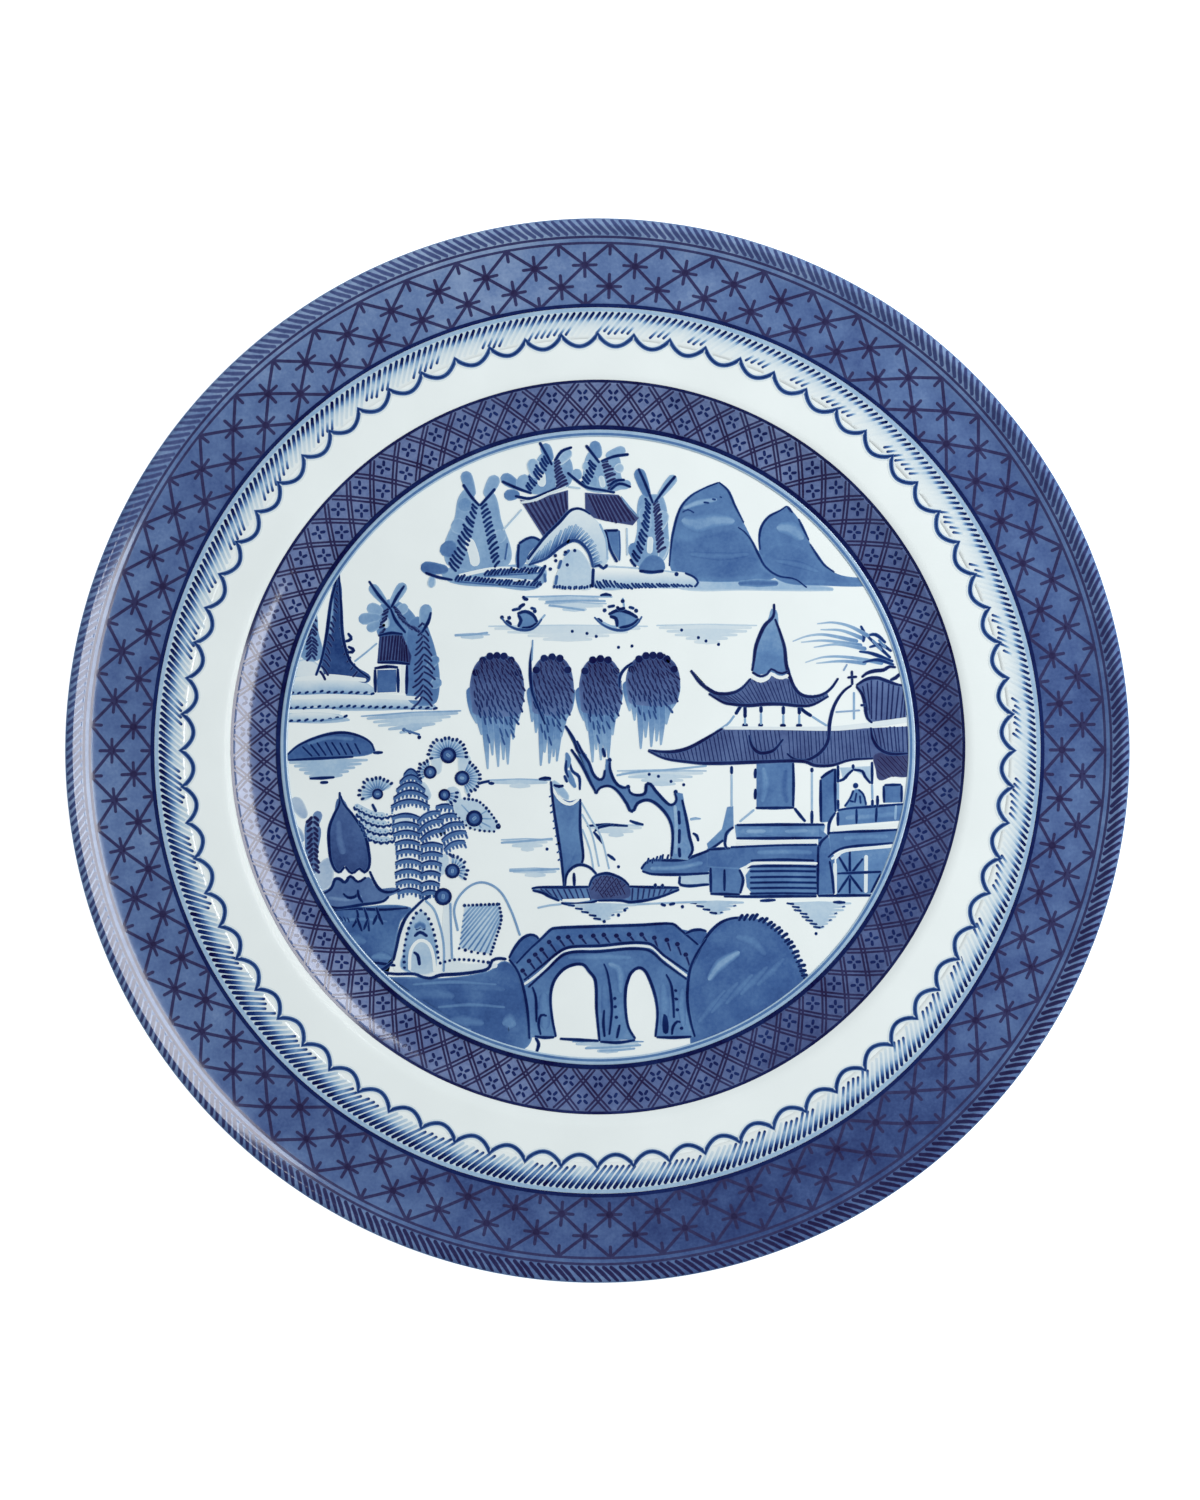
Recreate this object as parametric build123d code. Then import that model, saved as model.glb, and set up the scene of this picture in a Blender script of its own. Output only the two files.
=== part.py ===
from build123d import *
import math
import os

# A 10 inch china dinner plate: one fired body, two coats of glaze, and the fired-on
# blue decoration as thin films that sit on the glaze. Millimetres, +Z up. The origin
# is the centre of the circle on which the foot ring stands.

# --- the plate's section, measured on the finished, glazed surface ------------------
PLATE_R = 127.0          # outer radius: a 254 mm (10 inch) plate
FLOOR_Z = 7.5            # height of the flat well floor above the table
FLOOR_R = 76.0           # where the flat floor starts to rise
WALL_BEND_R = 22.0       # concave bend between floor and rim
WALL_TILT = 34.0         # steepest slope of the well's wall, degrees
SHOULDER_BEND_R = 6.0    # convex bend from the wall out to the rim
RIM_TILT = 9.0           # slope of the broad rim, degrees
RIM_END_R = 115.9        # where the rim starts to turn up into the lip
LIP_BEND_R = 21.5        # concave bend of the lip
EDGE_ROUND = 1.4         # full round of the edge, half the rim's thickness
UNDER_WALL_BEND_R = 45.0 # bend of the wall's underside, which thickens it to the foot

# --- foot ring ----------------------------------------------------------------------
FOOT_OUT_R = 77.0        # outer wall
FOOT_IN_R = 72.2         # inner wall
RECESS_Z = 3.1           # ceiling of the recess inside the ring
FOOT_ROUND = 0.9         # rounded bottom corners
FOOT_COVE = 1.2          # coves where the ring meets the plate
BARE_Z = 0.9             # the ring is wiped clean of glaze up to this height

# --- coats --------------------------------------------------------------------------
GLAZE = 0.25             # glaze thickness
FILM = 0.06              # thickness of one fired-on film of colour
EDGE_FILM = 0.14         # the rope hatching is laid on thicker, round the tight edge

# --- printed bands: inner and outer radius ------------------------------------------
RIM_WASH = (106.1, 126.5)        # blue ground from the navy line out to the edge
ROPE_EDGE = (123.2, 126.3)       # slanted rope hatching round the edge
LATTICE_RINGS = ((122.3, 122.9), (120.9, 121.5), (106.1, 106.9))
RAIN_CLOUD = (98.3, 105.8)       # hatching that fades towards the scallops
DIAPER_WASH = (76.4, 87.6)       # trellis band on the wall of the well
DIAPER_RINGS = ((87.0, 87.6), (76.4, 77.2))
WELL_LINE = (74.6, 75.6)         # fine line that frames the landscape
LANDSCAPE_R = 73.4               # the landscape stays inside this circle

# --- scalloped line -----------------------------------------------------------------
SCALLOPS = 72
CUSP_R = 99.9            # points, turned outwards
TROUGH_R = 97.1          # middle of each scallop
SCALLOP_LINE = 0.7       # width of the line


class Pen:
    """Draws tangent straights and bends of the section: X is the radius, Y the height.

    The path describes the finished surface. The edges are drawn parallel to it, at a
    distance to its left, which is outside the plate.
    """

    def __init__(self, r, z, shift):
        self.at, self.heading, self.shift = (r, z), 0.0, shift
        self.edges = []

    def beside(self, distance):
        """The point at that distance to the left of the pen."""
        return left_of(self.at, distance, self.heading)

    def straight(self, length):
        start = self.beside(self.shift)
        self.at = left_of(self.at, length, self.heading - 90)
        self.edges.append(Line(start, self.beside(self.shift)))

    def straight_to_radius(self, r):
        self.straight((r - self.at[0]) / math.cos(math.radians(self.heading)))

    def bend(self, radius, heading):
        """Turns to the new heading, in degrees, on an arc of that radius."""
        inward = radius if heading > self.heading else -radius
        centre, half_way = self.beside(inward), (self.heading + heading) / 2
        start = self.beside(self.shift)
        middle = left_of(centre, self.shift - inward, half_way)
        self.at, self.heading = left_of(centre, -inward, heading), heading
        self.edges.append(ThreePointArc(start, middle, self.beside(self.shift)))


def left_of(point, distance, heading):
    """The point at a distance to the left of a heading, in degrees."""
    turn = math.radians(heading + 90)
    return point[0] + distance * math.cos(turn), point[1] + distance * math.sin(turn)


def lip_tilt():
    """Slope at the end of the lip, so that the rounded edge reaches the plate's radius."""
    reach = LIP_BEND_R * math.sin(math.radians(RIM_TILT)) - RIM_END_R
    return math.degrees(math.asin((PLATE_R - EDGE_ROUND + reach) / (LIP_BEND_R + EDGE_ROUND)))


def face_run(shift):
    """The eating side, from the centre to the end of the lip."""
    pen = Pen(0, FLOOR_Z, shift)
    pen.straight_to_radius(FLOOR_R)
    pen.bend(WALL_BEND_R, WALL_TILT)
    pen.bend(SHOULDER_BEND_R, RIM_TILT)
    pen.straight_to_radius(RIM_END_R)
    pen.bend(LIP_BEND_R, lip_tilt())
    return pen


def under_run(pen):
    """Carries the pen round the edge, back under the rim and over the foot ring."""
    thickness = 2 * EDGE_ROUND
    shoulder_r = FLOOR_R + WALL_BEND_R * math.sin(math.radians(WALL_TILT))
    shoulder_r += SHOULDER_BEND_R * math.sin(math.radians(WALL_TILT))
    rim_start_r = shoulder_r - (SHOULDER_BEND_R - thickness) * math.sin(math.radians(RIM_TILT))
    pen.bend(EDGE_ROUND, pen.heading - 180)
    pen.bend(LIP_BEND_R + thickness, RIM_TILT - 180)
    pen.straight_to_radius(rim_start_r)
    pen.bend(SHOULDER_BEND_R - thickness, WALL_TILT - 180)
    pen.bend(UNDER_WALL_BEND_R, tilt_over_foot(pen) - 180)
    pen.bend(FOOT_COVE, -90)
    pen.straight(pen.at[1] - FOOT_ROUND)
    pen.bend(FOOT_ROUND, -180)
    pen.straight_to_radius(FOOT_IN_R + FOOT_ROUND)
    pen.bend(FOOT_ROUND, -270)
    pen.straight(RECESS_Z - FOOT_ROUND - FOOT_COVE)
    pen.bend(FOOT_COVE, -180)
    pen.straight_to_radius(0)


def tilt_over_foot(pen):
    """Slope of the wall's underside where the foot ring's cove begins."""
    centre = pen.beside(-UNDER_WALL_BEND_R)
    reach = FOOT_OUT_R + FOOT_COVE - centre[0]
    return math.degrees(math.asin(reach / (UNDER_WALL_BEND_R + FOOT_COVE)))


def plate_section(shift=0.0):
    """Half section of the plate, grown all round by the shift."""
    pen = face_run(shift)
    under_run(pen)
    closing = Line(pen.edges[-1] @ 1, pen.edges[0] @ 0)
    return make_face(Wire([*pen.edges, closing]))


def space_over_face(shift):
    """Half section of the air above the eating side, from the axis past the edge."""
    pen = face_run(shift)
    pen.bend(EDGE_ROUND, 0)
    pen.bend(EDGE_ROUND, -90)
    end, start = pen.edges[-1] @ 1, pen.edges[0] @ 0
    outside = Polyline(end, (PLATE_R + 10, end.Y), (PLATE_R + 10, 40), (0, 40), start)
    return make_face(Wire([*pen.edges, *outside.edges()]))


def box_section(r_in, r_out, z_low, z_high):
    """A rectangle of the section."""
    corners = [(r_in, z_low), (r_out, z_low), (r_out, z_high), (r_in, z_high)]
    return make_face(Polyline(*corners, close=True))


def spun(section):
    """The section stood up and turned about the plate's axis."""
    return revolve(Rot(90, 0, 0) * section, Axis.Z, 360)


def film(band, layer=0, thickness=FILM):
    """A fired-on film over a band of the face. Layer 1 lies on top of layer 0."""
    under = FILM * layer
    skin = space_over_face(under) - space_over_face(under + thickness)
    return spun(skin & box_section(*band, 0, 40))


def scalloped_disc(inset):
    """A tall disc whose edge is a ring of arcs that swing inwards between cusps."""
    step = 2 * math.pi / SCALLOPS
    arcs = []
    for i in range(SCALLOPS):
        cusp, trough, following = (
            (radius * math.cos(angle), radius * math.sin(angle))
            for radius, angle in (
                (CUSP_R - inset, i * step),
                (TROUGH_R - inset, (i + 0.5) * step),
                (CUSP_R - inset, (i + 1) * step),
            )
        )
        arcs.append(ThreePointArc(cusp, trough, following))
    return extrude(make_face(Wire(arcs)), 40)


def closed_curve(*points):
    return make_face(Spline(*points, periodic=True))


def polygon(*points):
    return make_face(Polyline(*points, close=True))


def patch(*shapes):
    """The plan outline of one motif, kept inside the landscape's circle."""
    return (Sketch() + list(shapes)) & Circle(LANDSCAPE_R)


def floor_film(outline):
    return extrude(Pos(0, 0, FLOOR_Z) * outline, FILM)


# --- the landscape: plan outlines in millimetres from the plate's centre ------------

def mountains():
    return patch(polygon(
        (17.2, 43.5), (17.8, 50.5), (19.6, 57.0), (24.0, 61.4), (28.7, 63.8), (32.0, 60.2),
        (35.2, 53.6), (38.4, 48.4), (40.0, 54.8), (45.0, 57.8), (50.3, 49.8), (56.4, 42.2),
        (64.5, 40.4), (64.0, 38.8), (45.0, 38.0), (24.8, 38.2),
    ))


def far_island():
    """Two thatched houses and leafy trees behind a rock arch, on a long low shore."""
    shore = polygon((-40, 39.4), (-38, 43.4), (18, 42.8), (24, 39.8), (22, 38.3), (-16, 38.3))
    west_tree = closed_curve((-41.5, 43.5), (-37.6, 50.5), (-33.5, 60.0), (-31.0, 66.5),
                             (-27.0, 62.5), (-22.8, 66.0), (-21.6, 52.0), (-24.0, 43.0))
    west_house = polygon((-19, 59), (-16, 73.0), (-12, 73.0), (-5.4, 72), (-7, 57.5), (-19, 43))
    rock_arch = closed_curve((-17, 44.0), (-13.0, 50.0), (-5.0, 57.2), (1.5, 52.0),
                             (2.2, 43.5), (-7.5, 40.0))
    east_house = polygon((-3, 57), (-3, 72.5), (1, 72.5), (7.5, 72), (10, 55), (5, 43), (2, 43))
    east_tree = closed_curve((7.5, 43.0), (10.5, 53.0), (9.4, 66.5), (13.2, 61.0),
                             (18.6, 66.3), (16.4, 54.0), (16.0, 43.0))
    return patch(shore, west_tree, west_house, rock_arch, east_house, east_tree)


def fishing_boats():
    """Two small covered boats on the far water."""
    def boat(x, y):
        return closed_curve((x - 5, y + 2.2), (x, y + 3.2), (x + 5, y + 1.8), (x, y - 1.6))
    return patch(boat(-17, 30.5), boat(5, 30.8))


def willow_tree():
    """Four hanging bunches of leaves on a forked trunk."""
    def bunch(x, half_width, top, bottom):
        shoulder, waist = top - 6, (top + 2 * bottom) / 3
        return closed_curve((x - half_width, shoulder), (x, top), (x + half_width, shoulder),
                            (x + 0.6 * half_width, waist), (x, bottom),
                            (x - 0.6 * half_width, waist))
    trunk = polygon(
        (-7.5, 5.8), (-2.5, -1.5), (0.6, -7.2), (2.2, -2.5), (3.4, -6.0), (8.5, -11.0),
        (12.0, -8.0), (17.4, -13.3), (18.6, -10.2), (20.3, -10.2), (22.0, -25.8), (17.3, -25.8),
        (16.8, -16.2), (11.5, -12.3), (8.3, -14.8), (3.0, -9.0), (-0.5, -10.3), (-5.0, -2.0),
    )
    return patch(trunk, bunch(-23.8, 6.9, 22.4, -4.0), bunch(-10.8, 5.2, 22.2, -3.4),
                 bunch(0.7, 5.3, 21.9, -2.4), bunch(13.2, 6.6, 22.6, 1.0))


def teahouse():
    """A two-roofed house with a spire and a side pavilion, on a stone terrace."""
    spire = polygon((42.0, 34.4), (44.2, 26.6), (45.4, 20.0), (46.6, 15.6), (36.0, 15.6),
                    (37.2, 22.0), (39.0, 28.2))
    upper_roof = polygon((22.3, 18.8), (26.0, 14.8), (29.5, 13.2), (35.0, 16.0), (47.6, 16.0),
                         (51.5, 13.2), (57.4, 17.0), (50.5, 10.6), (32.0, 10.6), (26.4, 12.6))
    balcony = polygon((34.5, 10.8), (34.5, 4.4), (48.5, 4.4), (48.5, 10.8))
    lower_roof = polygon((12.0, -0.3), (29.8, 4.9), (65.0, 5.4), (74.0, 6.5), (74.0, -6.4),
                         (56.0, -4.0), (37.0, -3.4), (20.0, -2.6))
    hall = polygon((37.3, -3.2), (37.3, -14.2), (31.0, -19.0), (31.0, -23.5), (74.0, -23.5),
                   (74.0, -3.2))
    pavilion = polygon((55.6, 5.0), (57.0, 12.0), (60.5, 15.6), (64.0, 18.6), (74.0, 19.6),
                       (74.0, 5.0))
    terrace = polygon((10.4, -28.6), (12.5, -26.2), (25.0, -23.5), (31.0, -19.0), (74.0, -19.0),
                      (74.0, -34.9), (26.9, -34.7), (26.9, -28.6))
    return patch(spire, upper_roof, balcony, lower_roof, hall, pavilion, terrace)


def sailing_boat():
    """A river boat with a tall sail and a reed cabin."""
    sail = polygon((-11.0, -8.2), (-9.0, -11.4), (-4.0, -11.2), (-3.3, -26.2), (-6.8, -33.0),
                   (-9.6, -25.0))
    hull = closed_curve((-15.6, -33.3), (-6.0, -32.9), (6.0, -32.2), (19.6, -33.2),
                        (10.0, -36.2), (-8.0, -36.2))
    cabin = closed_curve((-1.2, -32.6), (2.0, -29.6), (7.6, -32.4), (3.0, -35.6))
    return patch(sail, hull, cabin)


def west_island():
    """Low shore with a pagoda spire, a house and a leafy tree."""
    shore = polygon((-74, 17), (-56, 17.4), (-38.6, 10.4), (-59, 7.8), (-74, 5.8))
    pagoda = polygon((-66, 18), (-64.8, 26), (-62.0, 43.5), (-60.6, 26), (-54, 16.6))
    house = closed_curve((-57.8, 31.6), (-52.0, 36.6), (-46.0, 35.6), (-39.8, 33.0),
                         (-38.8, 20.0), (-40.0, 12.4), (-53.0, 13.0), (-53.5, 24.0))
    return patch(shore, pagoda, house)


def small_islet():
    return patch(closed_curve((-73.0, -2.0), (-66.0, 2.6), (-57.0, 3.6), (-53.2, 0.0),
                              (-58.0, -3.6), (-66.0, -4.6)))


def flower_garden():
    """A flowering tree of scale-like leaves and round blossoms over arched rocks."""
    crown = closed_curve((-35.2, 4.0), (-29.0, -5.5), (-23.4, -18.8), (-31.4, -24.0),
                         (-31.6, -34.0), (-36.8, -37.6), (-46.6, -35.0), (-47.4, -22.5),
                         (-57.0, -12.0), (-51.0, -6.4), (-43.5, -5.4))
    rocks = polygon((-41.6, -36.0), (-46.6, -42.0), (-48.5, -50.6), (-40.0, -54.2),
                    (-26.0, -52.0), (-22.6, -41.0), (-25.0, -36.4), (-33.0, -31.6))
    return patch(crown, rocks)


def garden_hut():
    """A hut with a swept roof and a tall pointed finial beside the garden."""
    spire = closed_curve((-61.3, -11.0), (-57.2, -16.0), (-54.8, -27.0), (-58.0, -31.0),
                         (-62.6, -27.0), (-63.6, -19.0))
    roof = polygon((-74, -30), (-63.0, -30.6), (-54.4, -29.0), (-50.6, -33.6), (-47.6, -33.6),
                   (-52.0, -37.0), (-62.0, -37.9), (-74, -35.0))
    return patch(spire, roof)


def footbridge():
    """A humped bridge on two arches."""
    deck = polygon((-16.0, -69.0), (-17.4, -56.0), (-20.6, -50.4), (-15.4, -44.4), (-11.0, -42.5),
                   (18.0, -42.0), (25.2, -46.6), (21.8, -54.6), (21.6, -62.0), (23.0, -68.6))
    left_arch = closed_curve((-9.9, -70.0), (-10.8, -60.0), (-9.0, -53.6), (-4.2, -51.3),
                             (-0.6, -55.0), (-0.3, -64.0), (0.6, -70.0))
    right_arch = closed_curve((8.8, -70.0), (6.8, -60.0), (7.8, -53.6), (10.2, -52.2),
                              (13.0, -55.4), (14.2, -62.0), (13.8, -70.0))
    return patch(deck) - patch(left_arch, right_arch)


def river_banks():
    """The near bank on the left and the round hill on the right."""
    left_bank = polygon((-74, -36), (-62, -38.4), (-49, -38.4), (-48.8, -50.8), (-40.0, -54.4),
                        (-21.0, -50.2), (-17.4, -56.0), (-15.6, -69.4), (-14.4, -74), (-74, -74))
    hill = closed_curve((22.2, -70.0), (21.8, -54.0), (26.0, -45.4), (33.5, -40.4),
                        (42.0, -42.0), (47.4, -49.0), (50.0, -56.0), (40.0, -72.0))
    return patch(left_bank, hill)


def water_ripples():
    """Long faint strokes that stand for still water."""
    ripples = ((-5.0, 34.6, 10.0, 1.0), (-15.0, 26.9, 11.0, 0.9), (22.0, 27.6, 12.0, 1.2),
               (-44.5, 7.0, 7.0, 1.5), (22.0, -5.8, 8.0, 1.3), (-17.0, -7.9, 7.0, 0.8),
               (-16.0, -21.9, 5.0, 0.8), (12.0, -17.8, 3.6, 0.8), (1.0, -38.3, 5.0, 1.2),
               (32.0, -37.6, 9.0, 0.9), (54.0, -39.4, 6.0, 1.6), (4.0, -70.6, 5.0, 0.7))
    return patch(*(Pos(x, y) * Ellipse(length, width) for x, y, length, width in ripples))


LANDSCAPE = {
    "willow_tree": willow_tree, "teahouse": teahouse, "footbridge": footbridge,
    "sailing_boat": sailing_boat, "flower_garden": flower_garden, "garden_hut": garden_hut,
    "west_island": west_island, "far_island": far_island, "mountains": mountains,
    "fishing_boats": fishing_boats, "small_islet": small_islet, "river_banks": river_banks,
    "water_ripples": water_ripples,
}


def body_and_glaze():
    """The fired body, and the glaze over it in its two separate areas."""
    finished = plate_section()
    foot_zone = box_section(FOOT_IN_R - 1, FOOT_OUT_R + 1, -1, BARE_Z)
    body = plate_section(-GLAZE) + (finished & foot_zone)
    coats = sorted((finished - body).faces(), key=lambda face: face.area)
    base, outer = coats[-2], coats[-1]
    return spun(body), spun(outer), spun(base)


def bands():
    """The printed bands of the rim and of the well's wall."""
    scallops = film((TROUGH_R - 2, CUSP_R + 1))
    return {
        "rim_wash": film(RIM_WASH),
        "rope_edge_print": film(ROPE_EDGE, 1, EDGE_FILM),
        "lattice_rings": Compound([film(ring, 1) for ring in LATTICE_RINGS]),
        "rain_cloud_wash": film(RAIN_CLOUD) - scalloped_disc(0),
        "scallop_line": scallops & (scalloped_disc(0) - scalloped_disc(SCALLOP_LINE)),
        "diaper_wash": film(DIAPER_WASH),
        "diaper_rings": Compound([film(ring, 1) for ring in DIAPER_RINGS]),
        "well_line": film(WELL_LINE),
    }


def landscape():
    """Every painted motif, each cut clear of the ones in front of it."""
    motifs, covered = {}, Sketch()
    for name, draw in LANDSCAPE.items():
        outline = draw()
        motifs[name] = floor_film(outline - covered if motifs else outline)
        covered = covered + outline
    return motifs


def build():
    body, outer_glaze, base_glaze = body_and_glaze()
    nodes = {"porcelain_body": body, "outer_glaze": outer_glaze, "base_glaze": base_glaze}
    return nodes | bands() | landscape()


os.makedirs("parts", exist_ok=True)
for node, shape in build().items():
    export_step(shape, f"parts/{node}.step")
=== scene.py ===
import math

import bpy
import numpy as np
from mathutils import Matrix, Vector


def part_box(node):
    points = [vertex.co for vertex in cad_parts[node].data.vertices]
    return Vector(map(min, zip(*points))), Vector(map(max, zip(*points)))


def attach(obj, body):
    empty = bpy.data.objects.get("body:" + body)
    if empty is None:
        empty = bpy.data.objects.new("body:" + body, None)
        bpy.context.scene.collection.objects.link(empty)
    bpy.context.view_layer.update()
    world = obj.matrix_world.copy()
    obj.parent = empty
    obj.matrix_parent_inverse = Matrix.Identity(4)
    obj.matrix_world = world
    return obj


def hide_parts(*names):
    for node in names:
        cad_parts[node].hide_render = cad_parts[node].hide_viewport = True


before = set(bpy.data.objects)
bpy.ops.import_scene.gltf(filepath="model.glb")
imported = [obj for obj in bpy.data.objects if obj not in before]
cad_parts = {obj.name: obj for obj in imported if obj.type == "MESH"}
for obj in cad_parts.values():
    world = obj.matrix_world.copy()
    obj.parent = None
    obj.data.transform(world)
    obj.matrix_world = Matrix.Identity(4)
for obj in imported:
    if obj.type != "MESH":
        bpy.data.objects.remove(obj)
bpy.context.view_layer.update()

# The looks of the china dinner plate. Plan distances are millimetres from the plate's axis,
# +X to the right and +Y to the top of the landscape, and turn into metres in on_face().
MM = 0.001
DRAW = np.random.default_rng(11)


def node_reach(node):
    """Outer radius of a round CAD node, in millimetres."""
    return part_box(node)[1].x / MM


# --- the section, as the frame has it ---------------------------------------------------
PLATE_R = node_reach("outer_glaze")
FLOOR_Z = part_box("well_line")[0].z / MM
FLOOR_R, WALL_BEND_R, WALL_TILT = 76.0, 22.0, 34.0
SHOULDER_BEND_R, RIM_TILT = 6.0, 9.0
RIM_END_R, LIP_BEND_R, EDGE_ROUND = 115.9, 21.5, 1.4
UNDER_WALL_BEND_R, FOOT_OUT_R, FOOT_IN_R = 45.0, 77.0, 72.2
RECESS_Z, FOOT_ROUND, FOOT_COVE = 3.1, 0.9, 1.2
BARE_Z, GLAZE = 0.9, 0.25

# --- how the marks lie on the glaze -------------------------------------------------------
LIFT = 0.03             # height of the first layer of colour over the glaze
LAYER = 0.014           # each later layer lies this much higher
STAGGER = 0.0005        # step in height from a mark to the next one of its layer
SLOTS = 14              # steps in a layer for its fills, and as many for its strokes
SUNK = -0.02            # undersides of the marks are just inside the glaze
TURNS = 720             # segments of a printed ring
TIP = (0.0, 0.18, 0.55, 1.1)    # points of a stroke's rounded end, in half widths from its tip
BLUNT = 0.3             # width of the very tip, as a share of the stroke's


class Pen:
    """Walks the plate's section in short steps. X is the radius, Y the height."""

    def __init__(self, r, z, shift=0.0, step=0.6):
        self.at, self.heading, self.shift, self.step = (r, z), 0.0, shift, step
        self.points = [self.beside(shift)]

    def beside(self, distance):
        return left_of(self.at, distance, self.heading)

    def straight(self, length):
        start = self.at
        for i in range(1, math.ceil(length / (4 * self.step)) + 1):
            done = length * i / math.ceil(length / (4 * self.step))
            self.at = left_of(start, done, self.heading - 90)
            self.points.append(self.beside(self.shift))

    def straight_to_radius(self, r):
        self.straight((r - self.at[0]) / math.cos(math.radians(self.heading)))

    def bend(self, radius, heading):
        """Turns to the new heading, in degrees, on an arc of that radius."""
        inward = radius if heading > self.heading else -radius
        centre, turn = self.beside(inward), heading - self.heading
        steps = max(3, math.ceil(math.radians(abs(turn)) * radius / self.step), math.ceil(abs(turn) / 15))
        for i in range(1, steps + 1):
            now = self.heading + turn * i / steps
            self.points.append(left_of(centre, self.shift - inward, now))
        self.at, self.heading = left_of(centre, -inward, heading), heading


def left_of(point, distance, heading):
    turn = math.radians(heading + 90)
    return point[0] + distance * math.cos(turn), point[1] + distance * math.sin(turn)


def lip_tilt():
    reach = LIP_BEND_R * math.sin(math.radians(RIM_TILT)) - RIM_END_R
    return math.degrees(math.asin((PLATE_R - EDGE_ROUND + reach) / (LIP_BEND_R + EDGE_ROUND)))


def face_run(shift=0.0, step=0.6):
    """The eating side, from the axis to the end of the lip."""
    pen = Pen(0, FLOOR_Z, shift, step)
    pen.straight_to_radius(FLOOR_R)
    pen.bend(WALL_BEND_R, WALL_TILT)
    pen.bend(SHOULDER_BEND_R, RIM_TILT)
    pen.straight_to_radius(RIM_END_R)
    pen.bend(LIP_BEND_R, lip_tilt())
    return pen


def to_foot(pen):
    """Round the edge, back under the rim and down the foot ring's outer wall to the bare clay."""
    thickness = 2 * EDGE_ROUND
    shoulder_r = FLOOR_R + (WALL_BEND_R + SHOULDER_BEND_R) * math.sin(math.radians(WALL_TILT))
    rim_start_r = shoulder_r - (SHOULDER_BEND_R - thickness) * math.sin(math.radians(RIM_TILT))
    pen.bend(EDGE_ROUND, pen.heading - 180)
    pen.bend(LIP_BEND_R + thickness, RIM_TILT - 180)
    pen.straight_to_radius(rim_start_r)
    pen.bend(SHOULDER_BEND_R - thickness, WALL_TILT - 180)
    centre = pen.beside(-UNDER_WALL_BEND_R)
    reach = FOOT_OUT_R + FOOT_COVE - centre[0]
    tilt = math.degrees(math.asin(reach / (UNDER_WALL_BEND_R + FOOT_COVE)))
    pen.bend(UNDER_WALL_BEND_R, tilt - 180)
    pen.bend(FOOT_COVE, -90)
    pen.straight(pen.at[1] - BARE_Z)
    return pen


def under_foot(pen):
    """Round the bare bottom of the foot ring and up its inner wall to the glazed recess."""
    pen.straight(pen.at[1] - FOOT_ROUND + 1e-6)
    pen.bend(FOOT_ROUND, -180)
    pen.straight_to_radius(FOOT_IN_R + FOOT_ROUND)
    pen.bend(FOOT_ROUND, -270)
    return pen


def recess_run(pen):
    pen.straight(RECESS_Z - pen.at[1] - FOOT_COVE)
    pen.bend(FOOT_COVE, -180)
    pen.straight_to_radius(0)
    return pen


FACE = face_run(step=0.25)
FACE.bend(EDGE_ROUND, 0)
FACE.bend(EDGE_ROUND, -60)
FACE_R, FACE_Z = np.array(FACE.points).T


def on_face(plan, lift):
    """Places plan points on the glazed face, lifted off it. Millimetres in, metres out."""
    z = np.interp(np.hypot(plan[..., 0], plan[..., 1]), FACE_R, FACE_Z) + lift
    return np.concatenate([plan, z[..., None]], axis=-1) * MM


def polar(r, degrees):
    a = np.radians(degrees)
    return np.stack([r * np.cos(a), r * np.sin(a)], axis=-1)


# --- lines and marks ----------------------------------------------------------------------

def unit(v):
    return v / np.maximum(np.linalg.norm(v, axis=-1, keepdims=True), 1e-9)


def curve(points, closed=False, step=0.8):
    """A smooth line through the points, in steps of about that length."""
    p = np.asarray(points, float)
    if closed:
        p = np.vstack([p[-1], p, p[0], p[1]])
    else:
        p = np.vstack([2 * p[0] - p[1], p, 2 * p[-1] - p[-2]])
    out = []
    for before, a, b, after in zip(p, p[1:], p[2:], p[3:]):
        length = np.hypot(*(b - a))
        n = max(2, math.ceil(length / step))
        t = (np.arange(n) / n)[:, None]
        leave, arrive = unit(b - before) * length, unit(after - a) * length
        out.append((2 * t**3 - 3 * t**2 + 1) * a + (t**3 - 2 * t**2 + t) * leave
                   + (3 * t**2 - 2 * t**3) * b + (t**3 - t**2) * arrive)
    return np.vstack(out if closed else out + [p[-2:-1]])


def polyline(points, closed=False, step=1.1):
    """Straight runs between the points, in steps of about that length."""
    p = np.asarray(points, float)
    ends = np.vstack([p[1:], p[:1]]) if closed else p[1:]
    out = []
    for a, b in zip(p, ends):
        n = max(1, math.ceil(np.hypot(*(b - a)) / step))
        out.append(a + (b - a) * (np.arange(n) / n)[:, None])
    return np.vstack(out if closed else out + [p[-1:]])


def across(path, closed=False):
    """Unit vectors to the left of a path."""
    if closed:
        ahead, back = np.roll(path, -1, 0), np.roll(path, 1, 0)
    else:
        ahead, back = np.vstack([path[1:], path[-1:]]), np.vstack([path[:1], path[:-1]])
    along = unit(ahead - back)
    return np.stack([-along[:, 1], along[:, 0]], axis=1)


def room(ring, inward):
    """For each point of a closed ring, the radius of the circle that fits inside there."""
    gap = ring[None] - ring[:, None]
    ahead = np.sum(gap * inward[:, None], -1)
    reach = np.sum(gap * gap, -1) / (2 * np.maximum(ahead, 1e-9))
    return np.where(ahead > 1e-6, reach, np.inf).min(1)


def spread(values, t):
    """Values spread evenly over 0 to 1, read at t. One value holds everywhere."""
    values = np.atleast_1d(values)
    return np.interp(t, np.linspace(0, 1, len(values)), values)


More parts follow.
